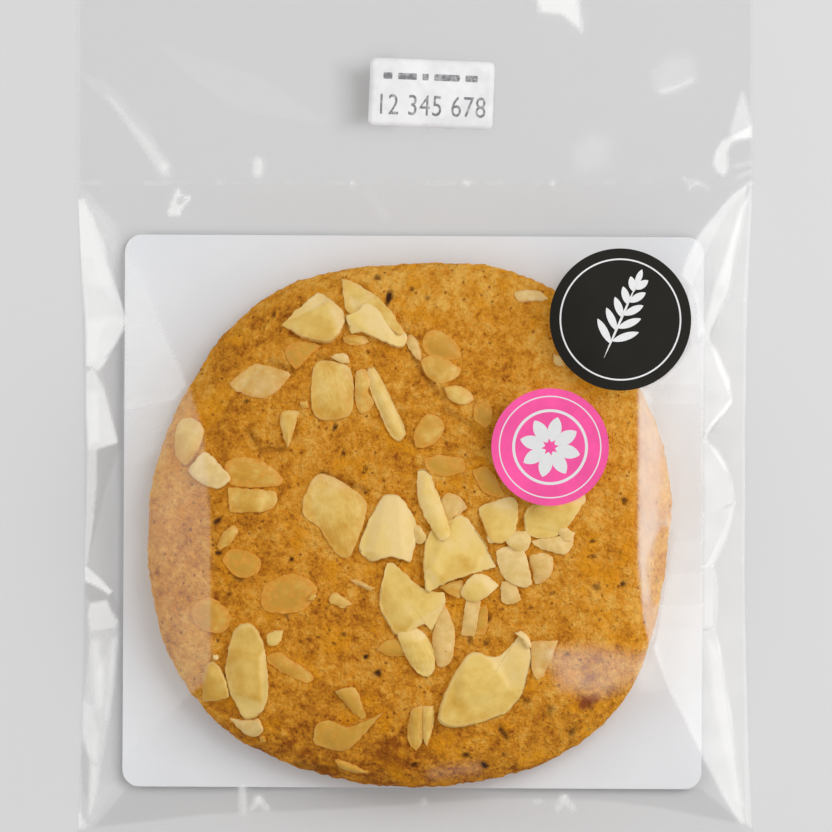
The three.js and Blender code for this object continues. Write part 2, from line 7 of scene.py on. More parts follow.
import bmesh
import bpy
from bpy.props import FloatProperty, FloatVectorProperty, IntProperty, PointerProperty
from mathutils import Matrix, Vector, noise
from mathutils.geometry import interpolate_bezier


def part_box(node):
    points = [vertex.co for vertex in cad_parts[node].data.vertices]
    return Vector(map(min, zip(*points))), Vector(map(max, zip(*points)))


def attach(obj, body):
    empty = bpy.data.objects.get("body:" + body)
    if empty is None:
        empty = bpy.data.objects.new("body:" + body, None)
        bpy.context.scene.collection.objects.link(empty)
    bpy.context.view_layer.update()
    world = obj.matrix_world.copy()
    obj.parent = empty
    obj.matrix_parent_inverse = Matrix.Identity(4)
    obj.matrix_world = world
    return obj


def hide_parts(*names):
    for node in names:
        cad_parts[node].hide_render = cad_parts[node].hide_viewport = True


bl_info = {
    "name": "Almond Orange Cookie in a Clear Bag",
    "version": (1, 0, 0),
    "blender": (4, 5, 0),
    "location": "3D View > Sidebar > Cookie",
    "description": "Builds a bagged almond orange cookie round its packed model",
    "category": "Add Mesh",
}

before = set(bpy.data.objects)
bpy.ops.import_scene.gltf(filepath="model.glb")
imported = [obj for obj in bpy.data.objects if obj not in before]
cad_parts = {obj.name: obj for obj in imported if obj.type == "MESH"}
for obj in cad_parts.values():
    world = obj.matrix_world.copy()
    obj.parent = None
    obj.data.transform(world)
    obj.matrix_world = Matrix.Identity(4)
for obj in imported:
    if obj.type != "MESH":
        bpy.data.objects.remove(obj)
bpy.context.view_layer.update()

# Places and lengths below are in millimetres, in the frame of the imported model. Meshes are scaled to metres
# at the end.
MM = 0.001

# The dough rests this far above the table, on the card.
DOUGH_BASE = 1.6
# The outline's bulges: how many round the edge, how far they stand out, and where the first one peaks,
# in degrees.
BULGES = ((2, 0.4, 63), (3, 0.6, -43), (4, 1.0, 42), (6, 0.25, 6), (7, 0.35, 14))

# An almond piece: tone runs from 0, pale cream, to 1, deep gold. lift is how far its top stands above the
# dough, and dome how far it is rounded over, from 0, flat, to 1. grain is 1 where its fibres show, 0 where
# it is smooth and -1 where it is broken and chalky. corners are its outline's, from the cookie's middle.
Almond = namedtuple("Almond", "tone lift dome grain corners")

SLICES = {
    "almond_slice_1": Almond(0.5, 1, 0.3, 0, (
        (4.8, -33.5), (6.9, -27.3), (9.7, -22.8), (11.2, -22), (15.2, -22.8), (19.3, -18.8),
        (20.5, -20.2), (21.1, -22.8), (19.6, -29), (17.9, -31.7), (15.8, -33.3), (9, -35.1),
        (6.4, -34.9),
    )),
    "almond_slice_2": Almond(0.42, 1.2, 0.1, 0, (
        (9, 1.9), (11.2, -0.2), (15, -7.1), (6, -9.8), (3.2, -11.5), (2.5, -10.5), (3, -1.6), (7.3, 1.6),
    )),
    "almond_slice_3": Almond(0.55, 1, 0.15, 0, (
        (-4.2, -6.4), (-3, -6.4), (0.9, -10.1), (3.4, -11.3), (5.7, -11.5), (5.8, -13.5), (3.5, -18.2),
        (2.3, -17), (-1.2, -18.8), (-2.7, -18.8), (-4.1, -16.7), (-5.5, -13.6),
    )),
    "almond_slice_4": Almond(0.5, 1.35, 0.45, 1, (
        (-1.9, -18.1), (0.2, -17.7), (1.9, -18.4), (3.4, -20.5), (4.1, -22.8), (3.9, -25.5),
        (2.7, -26.4), (0.9, -25.3), (-0.5, -23.4), (-2.3, -19.3),
    )),
    "almond_slice_5": Almond(0.12, 1.35, 0.1, 0, (
        (-5.1, 5.1), (-3.7, 5.6), (-1.4, 4.6), (0.7, 1), (1.2, -0.7), (-0.2, -6.2), (-3.7, -5.2),
        (-6.9, -6), (-9.2, -3.4),
    )),
    "almond_slice_6": Almond(0.5, 1, 0.25, 0, (
        (30.4, 5.6), (30.3, 4.2), (26.4, -1.1), (24.2, -2), (21.8, -1.8), (20.2, -0.7), (20.2, 2.8),
        (22.5, 4.2),
    )),
    "almond_slice_7": Almond(0.5, 0.9, 0.1, 0, (
        (-22.8, 35.6), (-16.5, 41.4), (-12.4, 38.2), (-11.7, 35.9), (-13.8, 32.5), (-16.1, 32.4),
        (-18.6, 33.1),
    )),
    "almond_slice_8": Almond(0.12, 1.3, 0.1, 0, (
        (-11.3, 36.8), (-9.2, 37.9), (-8.3, 39.1), (-6.9, 38.9), (-0.9, 33.8), (-1.2, 32), (-2.3, 31.5),
        (-8.7, 34), (-10.4, 33.8),
    )),
    "almond_slice_9": Almond(0.62, 0.95, 0.35, 0, (
        (-28.5, -17), (-27.1, -18.1), (-25.8, -21.1), (-25.1, -28.2), (-25.8, -31.7), (-27.6, -33.6),
        (-29.4, -33.8), (-32, -28.7), (-32.6, -25.2), (-31.5, -19.3), (-30.3, -17.5),
    )),
    "almond_slice_10": Almond(0.9, 0.75, 0.35, 0, (
        (-5, -32.6), (-10.4, -38.8), (-12.6, -39.5), (-16.8, -38.4), (-17.2, -37.5), (-16.5, -34.7),
        (-14.3, -34), (-11.7, -35.1), (-9.4, -34.7),
    )),
    "almond_slice_11": Almond(0.28, 1.3, 0.45, 1, (
        (1.2, 9.9), (2.5, 9.9), (3.7, 8.5), (6.9, -1.3), (5.8, -2.5), (4.8, -2), (1.9, 2.8), (1.2, 5.5),
    )),
    "almond_slice_12": Almond(0.35, 0.9, 0.75, 1, (
        (-7.6, 27.6), (-6.4, 27.9), (-3.5, 22.6), (-0.9, 16.6), (-2.1, 15), (-3.4, 15.9), (-5.1, 19.1),
        (-7.4, 24.9),
    )),
}

FLAKES = (
    Almond(0.45, 0.85, 0.1, 0, (
        (-12, 43.7), (-10.1, 43.2), (-5.1, 39.5), (-1.4, 34.1), (-2.1, 33.3), (-5.5, 35.6),
        (-11.2, 37.9),
    )),
    Almond(0.48, 0.82, 0.95, 1, (
        (-16.6, 28.7), (-14.7, 29.2), (-10.8, 27.9), (-10.1, 22.3), (-10.6, 20), (-12.6, 18.9),
        (-15.2, 18.7), (-17, 19.8), (-17.5, 22.3), (-17.2, 27.2),
    )),
    Almond(0.4, 0.75, 0.2, -1, (
        (-14.2, 29.9), (-12.6, 30.4), (-11.2, 30.1), (-10.8, 28.7), (-12.2, 28.8), (-13.8, 29.4),
    )),
    Almond(0.5, 0.7, 0.7, 1, (
        (-8, 27.6), (-6.9, 25.8), (-7.6, 23.7), (-6.5, 21.9), (-7.3, 20.5), (-8.7, 19.8), (-9.6, 21.4),
        (-9.9, 24.1), (-9.6, 27.2),
    )),
    Almond(0.5, 0.8, 0.6, 1, ((-21.2, 20.5), (-19.6, 20.2), (-21.6, 13.8), (-23, 17.9), (-22.7, 20))),
    Almond(0.55, 0.6, 0.6, 0, (
        (-12, 33.3), (-10.4, 33.6), (-8, 33.4), (-7.3, 32.4), (-9.7, 31.8), (-11.7, 32.4),
    )),
    Almond(0.95, 0.4, 0.35, 0, (
        (-22.1, 30.8), (-21.1, 32.2), (-17.9, 32.5), (-15.8, 31.8), (-20.2, 27.6), (-21.4, 29),
    )),
    Almond(0.35, 0.35, 0.3, -1, (
        (0, 33.8), (1.1, 32.9), (1.8, 30.8), (1.8, 29), (0.7, 29.7), (-1.2, 32.9),
    )),
    Almond(0.75, 0.6, 0.8, 0, (
        (2.3, 33.3), (3.7, 34.5), (5.8, 34.1), (8.1, 32), (8.7, 29.7), (6.2, 29.2), (3.4, 29.9),
        (2.1, 31.5),
    )),
    Almond(0.45, 0.65, 0.5, 0, (
        (1.8, 29.2), (3.7, 30.1), (6.5, 29.2), (8.8, 27.6), (7.8, 26), (5.1, 25.3), (2.8, 26.4),
    )),
    Almond(0.7, 0.6, 0.8, 0, (
        (5.3, 18.7), (5.7, 17), (4.4, 14.8), (2.5, 14), (0.9, 14.1), (0.5, 15.9), (1.6, 18.7),
        (3.4, 19.8),
    )),
    Almond(0.7, 0.45, 0.2, -1, (
        (-31.9, 25.3), (-28.5, 28.1), (-27.1, 28.7), (-21.8, 27.2), (-21.2, 26.5), (-23.9, 23.5),
        (-26.4, 22.6), (-30.8, 23.9),
    )),
    Almond(0.52, 0.8, 0.6, 1, (
        (-15.2, 9.2), (-9.9, 6.4), (-8, 4.2), (-8.3, 1), (-10.8, -5.3), (-12.6, -5.2), (-16.5, 0.2),
        (-18.8, 1.9), (-19.1, 3.7), (-18.4, 6), (-17, 8.5),
    )),
    Almond(0.5, 0.9, 0.2, -1, ((0.7, 0.5), (1.9, -0.4), (2.7, -2.1), (1.6, -3), (0.4, -2.5))),
    Almond(0.1, 0.6, 0.2, -1, ((6.5, 6), (8.3, 5.3), (9.9, 3.3), (6.4, 0.7), (5.1, 4.1))),
    Almond(0.3, 0.7, 0.3, -1, (
        (5.7, -13.6), (6.9, -15.8), (7.6, -18.4), (7.6, -21.1), (6.9, -23.7), (5.8, -24.6), (4.6, -24.4),
        (3.7, -19.3),
    )),
    Almond(0.33, 0.75, 0.2, -1, ((12.2, -13.1), (11.2, -19.1), (8.8, -19), (9.7, -12.8))),
    Almond(0.7, 0.45, 0.3, 0, ((13.3, -13.6), (13.5, -16.3), (12.9, -18.8), (11.3, -19), (11.9, -14.2))),
    Almond(0.18, 1.25, 0.3, 0, (
        (8.8, -11.7), (9.7, -9.6), (11.5, -8.3), (13.6, -8.9), (15.4, -10.3), (11.9, -13.1),
        (9.7, -12.8),
    )),
    Almond(0.5, 0.6, 0.2, 0, ((4.8, -10.6), (6.9, -9.6), (9, -9.4), (9.4, -11.3), (8.3, -12.6))),
    Almond(0.3, 0.7, 0.3, 0, (
        (-14.5, -12.8), (-13.6, -11.5), (-12, -12.2), (-10.3, -13.6), (-12, -14.2), (-14, -13.5),
    )),
    Almond(0.4, 0.6, 0.5, -1, ((-10.6, -9.4), (-9.6, -9.2), (-6.4, -10.8), (-7.1, -11.3), (-9.4, -10.3))),
    Almond(0.85, 0.7, 0.5, 0, (
        (-6, -21.6), (-4.8, -20.2), (-2.8, -19.8), (-0.5, -20.7), (0, -22.3), (-1.9, -22.7),
        (-4.1, -22.5),
    )),
    Almond(0.5, 0.95, 0.2, 0, (
        (17.9, 5.1), (18.8, 3.7), (18.4, 0.2), (17.2, -2.1), (14.9, -2.8), (13.6, -1.6), (11.9, 3.2),
        (14.9, 4.6),
    )),
    Almond(0.1, 1.2, 0.2, -1, ((14.5, -0.4), (15.4, -1.3), (14.7, -2.7), (13.6, -2.7), (13.5, -1.4))),
    Almond(0.5, 1, 0.2, -1, (
        (16.3, -2), (18.4, -0.9), (20.5, -0.7), (21.1, -2.5), (20, -4.3), (17.5, -3.6),
    )),
    Almond(0.4, 0.85, 0.2, -1, (
        (21.1, -2.5), (26.4, -1.6), (28.5, -2), (28.1, -3.6), (26.7, -4.8), (21.9, -3.4),
    )),
    Almond(0.4, 0.9, 0.2, -1, ((26.7, 0.3), (28.8, -1.1), (28.1, -2.5), (26.7, -2.3), (25.7, -0.7))),
    Almond(0.28, 1, 0.1, -1, (
        (15, -4.3), (17.2, -3.4), (19.6, -3.4), (21.2, -9.9), (19.6, -10.6), (16.1, -8.7),
    )),
    Almond(0.4, 0.75, 0.2, -1, (
        (15.9, -9.6), (17.9, -9.9), (18.9, -11.3), (19.3, -12.8), (17.5, -13.6), (15.9, -13.1),
    )),
    Almond(0.6, 0.7, 0.3, -1, (
        (24.8, -5.3), (24.8, -7.8), (23.5, -9.6), (21.8, -10.1), (20.7, -5.2), (22.8, -4.6),
    )),
    Almond(0, 1.45, 0.3, 0, (
        (18.2, -18.6), (19.3, -18.2), (20.5, -19.3), (21.1, -21.1), (20.4, -21.3), (19.6, -19.8),
    )),
    Almond(0.6, 0.4, 0.1, -1, ((25.8, -20), (23.4, -25.9), (22.1, -26.9), (21.1, -24.6), (21.1, -20.2))),
    Almond(0.75, 0.8, 0.6, 1, (
        (1.9, -31.3), (2.3, -34.4), (1.8, -37.9), (0.9, -39.5), (-0.5, -37.5), (-0.4, -34.4),
        (0.2, -31.9),
    )),
    Almond(0.5, 0.85, 0.6, 1, ((3.9, -31.5), (4.1, -34), (2.8, -38.6), (2.1, -37), (1.9, -31.5))),
    Almond(0.3, 0.95, 0.2, 0, (
        (-22.5, -18.2), (-22.8, -19.8), (-24.1, -20.9), (-25.1, -20.5), (-25.3, -19), (-23.9, -18.2),
    )),
    Almond(0.75, 0.5, 0.5, 1, (
        (-25.3, -22.8), (-23.5, -22.1), (-18.8, -24.8), (-17, -26.6), (-18.2, -27.5), (-20.4, -26.6),
        (-25, -24.1),
    )),
    Almond(0.95, 0.85, 0.3, 0, ((-13.3, -29), (-11.5, -28.2), (-9.7, -28.5), (-8, -33.5), (-8.8, -33.8))),
    Almond(0.7, 0.7, 0.4, 0, (
        (-13.3, -40.9), (-11.7, -41.1), (-7.3, -43.4), (-9.4, -43.6), (-11.7, -42.7), (-12.9, -41.8),
    )),
    Almond(0.95, 0.9, 0.15, 0, (
        (-36.8, -30.8), (-36.3, -25.2), (-34.9, -23.6), (-33.6, -24.6), (-32.4, -27.3), (-32, -29.8),
        (-34.2, -30.6),
    )),
    Almond(0.5, 0.8, 0.2, -1, (
        (-31.9, -33.8), (-29.4, -34), (-26.7, -33.6), (-26, -35.8), (-27.4, -37), (-29.2, -36.5),
    )),
    Almond(0.8, 0.4, 0.3, 0, (
        (-38.8, -15.2), (-37.3, -13.1), (-35, -12.6), (-32.9, -14), (-31.7, -16.1), (-32.7, -18.4),
        (-35.2, -18.6), (-37.7, -17.5),
    )),
    Almond(1, 0.38, 0.5, 0, (
        (-26.4, -13.1), (-25.7, -10.5), (-23.5, -8.9), (-21.1, -8.3), (-18.2, -9.2), (-16.5, -11),
        (-17.5, -13.1), (-19.6, -14.9), (-25.3, -14.9),
    )),
    Almond(0.7, 0.9, 0.2, 0, ((-18.2, -12.8), (-17.5, -11.9), (-16.5, -12.1), (-17.2, -12.9))),
    Almond(1.1, 0.35, 0.6, 0, (
        (-33.1, -6), (-31.7, -3.9), (-28.8, -4.3), (-26.4, -6), (-27.1, -8.2), (-30.3, -8.9),
    )),
    Almond(0.6, 0.6, 0.3, 0, (
        (-31, 0.3), (-30.3, -0.7), (-31.7, -2.8), (-33.5, -4.1), (-34.2, -3.4), (-32.7, -0.7),
    )),
    Almond(0.65, 0.85, 0.15, 0, (
        (-39.8, 19.1), (-37.7, 18.6), (-36.3, 16.6), (-38.1, 12), (-39.5, 10.6), (-40.7, 11.7),
        (-41.6, 13.4), (-41.8, 15.2), (-41.4, 17.9),
    )),
    Almond(0.24, 1.3, 0.1, -1, (
        (-39.1, 9.9), (-36.3, 13.1), (-35.4, 12.7), (-31.7, 8.7), (-32.2, 7.6), (-34.2, 6.7),
        (-37.7, 8.3),
    )),
    Almond(0.62, 0.4, 0.3, 1, (
        (-32.7, 10.8), (-30.6, 12.2), (-27.6, 12), (-24.6, 10.6), (-22.5, 8.5), (-23.5, 7.1),
        (-31.7, 7.4),
    )),
    Almond(0.62, 0.75, 0.15, 0, ((-32.2, 6.9), (-23.9, 6.2), (-23.7, 4.1), (-25.3, 2.8), (-31.7, 2.6))),
    Almond(0.45, 0.75, 0.4, 0, (
        (5.8, 24.4), (7.8, 24.8), (10.1, 23.9), (11, 22.3), (9.2, 21.4), (6.9, 22.3),
    )),
    Almond(0.1, 0.7, 0.3, -1, (
        (18.1, 41), (20.2, 41.6), (22.8, 41.4), (24.2, 40), (21.9, 39.5), (18.9, 39.5),
    )),
    Almond(1, 0.35, 0.5, 0, ((2.3, 12), (5.1, 12.5), (9, 12), (9.6, 9.9), (6, 8.8), (3, 9.9))),
    Almond(1.15, 0.35, 0.5, 0, (
        (10.8, 9.9), (13.1, 10.6), (15.2, 8.1), (16.6, 5.1), (14, 5.5), (11.9, 7.2),
    )),
    Almond(0.35, 0.6, 0.2, -1, ((25.1, 30.4), (26.4, 29.7), (26.9, 28.1), (25.7, 28.3), (25, 29))),
    Almond(0.95, 0.3, 0.5, 0, ((13.6, 22.3), (14.3, 19.1), (13.1, 17.3), (11.2, 18.7), (11.3, 21.4))),
    Almond(0.05, 1.0, 0.3, -1, ((-34.7, -22.5), (-34, -22.5), (-33.8, -23.2), (-34.5, -23.4))),
    Almond(1.3, 0.5, 0.3, 0, ((-25.8, -36.8), (-25.5, -37.9), (-26.4, -38.2), (-26.7, -37))),
    Almond(0.55, 0.6, 0.3, 0, ((-19.5, 21.9), (-18.2, 22.1), (-17.9, 20.9), (-19.1, 20.7))),
)

# Pits and dark bits of peel in the dough: place from the cookie's middle, length, width, turn in degrees
# and how dark they are. The dark in a pit is painted shade.
Speck = namedtuple("Speck", "x y long wide turn dark")
SPECKS = (
    Speck(-3.9, 40.4, 3.4, 1.4, 75, 1),
    Speck(-5.8, 43.9, 1.6, 1.2, 0, 0.7),
    Speck(0.2, 41.8, 1.3, 1, 0, 0.7),
    Speck(2.8, 40.2, 1.2, 1, 0, 0.6),
    Speck(-13.3, 17.5, 1.3, 1, 80, 1),
    Speck(-11.9, 12.9, 1.3, 1, 10, 0.8),
    Speck(-8, 10.2, 1, 0.8, 0, 0.7),
    Speck(-28.9, 22, 0.9, 0.8, 0, 0.8),
    Speck(-24.2, 37.3, 0.9, 1, 0, 0.7),
    Speck(-5.9, -25.7, 1.6, 1.5, 0, 1),
    Speck(-7.9, -22.8, 1.3, 1, 40, 1),
    Speck(-11.7, -18.9, 1.1, 0.9, 20, 0.9),
    Speck(-18.2, -19.9, 0.8, 0.7, 0, 0.8),
    Speck(-13.5, -20.5, 0.8, 0.7, 0, 0.7),
    Speck(-21, -5.8, 1, 0.8, 0, 0.8),
    Speck(-21.9, -15.7, 1, 0.9, 0, 0.7),
    Speck(-34, 1, 2, 1.2, 20, 1),
    Speck(-33.8, -4.6, 1.6, 1, 20, 0.9),
    Speck(9.7, -40.2, 1.4, 1.3, 0, 0.9),
    Speck(13, -42.2, 2, 1.2, -25, 1),
    Speck(0.5, -41.9, 1.5, 1, 0, 0.8),
    Speck(16.3, -40.1, 1.2, 1, 0, 0.7),
    Speck(37.3, -10.1, 1.2, 1.1, 0, 1),
    Speck(32.5, -10.7, 1.7, 1.4, 0, 0.6),
    Speck(24.8, -11.7, 1.2, 0.9, -20, 0.8),
    Speck(27.5, -22.4, 1.1, 1, 0, 0.9),
    Speck(32, -5.2, 1.2, 1, 0, 0.8),
    Speck(31.9, -2.6, 1.2, 1, 0, 0.8),
    Speck(37.5, 4.4, 1, 1.8, 0, 0.8),
    Speck(13.5, -16, 1.6, 1.6, 0, 0.7),
    Speck(24.4, -32.3, 2.6, 1.4, 80, 0.5),
    Speck(28.5, -36.2, 2.4, 1.3, 70, 0.7),
    Speck(16.2, -36.4, 3, 1, -55, 0.8),
    Speck(20.3, -30.5, 1.4, 1.2, 0, 0.6),
    Speck(13.2, -20.4, 1.5, 1.2, 0, 0.7),
    Speck(10.3, -20, 1, 1.6, 0, 0.7),
    Speck(-32, -12, 1, 1, 0, 0.6),
    Speck(-30.3, -8.7, 2.4, 2, -30, 0.6),
    Speck(27, 19.5, 1.2, 1, 0, 0.6),
)
# The one large piece of red peel, and two fainter ones beside it.
PEEL = (
    Speck(31, -30.8, 4.4, 3, 15, 1),
    Speck(32.4, -30.3, 2, 2.4, 0, 0.8),
    Speck(31.5, -26.6, 3.2, 1.7, 35, 0.6),
    Speck(33.1, -23.4, 2.6, 2, 0, 0.35),
    Speck(34.7, -29.4, 1.3, 1.1, 0, 0.55),
    Speck(28.8, -33.2, 1.5, 1.2, 0, 0.5),
)
# Cracks where the dough has pulled away from an almond: ends from the cookie's middle, width and depth.
# Their darkness is painted shade.
Crack = namedtuple("Crack", "x0 y0 x1 y1 width depth")
CRACKS = (
    Crack(-15.8, 9.6, -7.8, 6.2, 0.5, 0.8),
    Crack(-28.8, 17, -26.4, 13.6, 0.5, 0.6),
    Crack(-26.4, 13.6, -22.6, 13.6, 0.6, 0.7),
    Crack(-25, 29.2, -20.8, 27.2, 0.4, 0.5),
    Crack(-16.4, 30, -11.6, 28, 0.4, 0.4),
    Crack(-20, -42.3, -12, -43.2, 0.6, 0.5),
    Crack(-0.8, 33.6, 1.4, 27.6, 0.5, 0.4),
    Crack(1.4, 27.6, 5.6, 22.4, 0.6, 0.4),
    Crack(5.6, 20.8, 10.4, 17.9, 0.6, 0.35),
    Crack(10.4, 17.9, 14.9, 13.4, 0.5, 0.3),
)

# Along each side of the bag the film breaks into crumpled facets, which meet its smooth part along these
# fold lines. Each point gives its place along the bag, then across it.
LEFT_FOLD = (
    (38.6, -59.6), (14, -52), (6.4, -57), (-7, -53.2), (-18, -57.6), (-37, -52.8), (-44, -56),
    (-57, -53.8), (-77.3, -59.4),
)
RIGHT_FOLD = (
    (38.6, 59.6), (19.6, 56), (11.7, 52.6), (2, 55.8), (-5.1, 52.2), (-15.8, 56.3), (-28.1, 52.7),
    (-38.8, 52.2), (-52.9, 54.9), (-75, 58.4), (-77.3, 59.4),
)
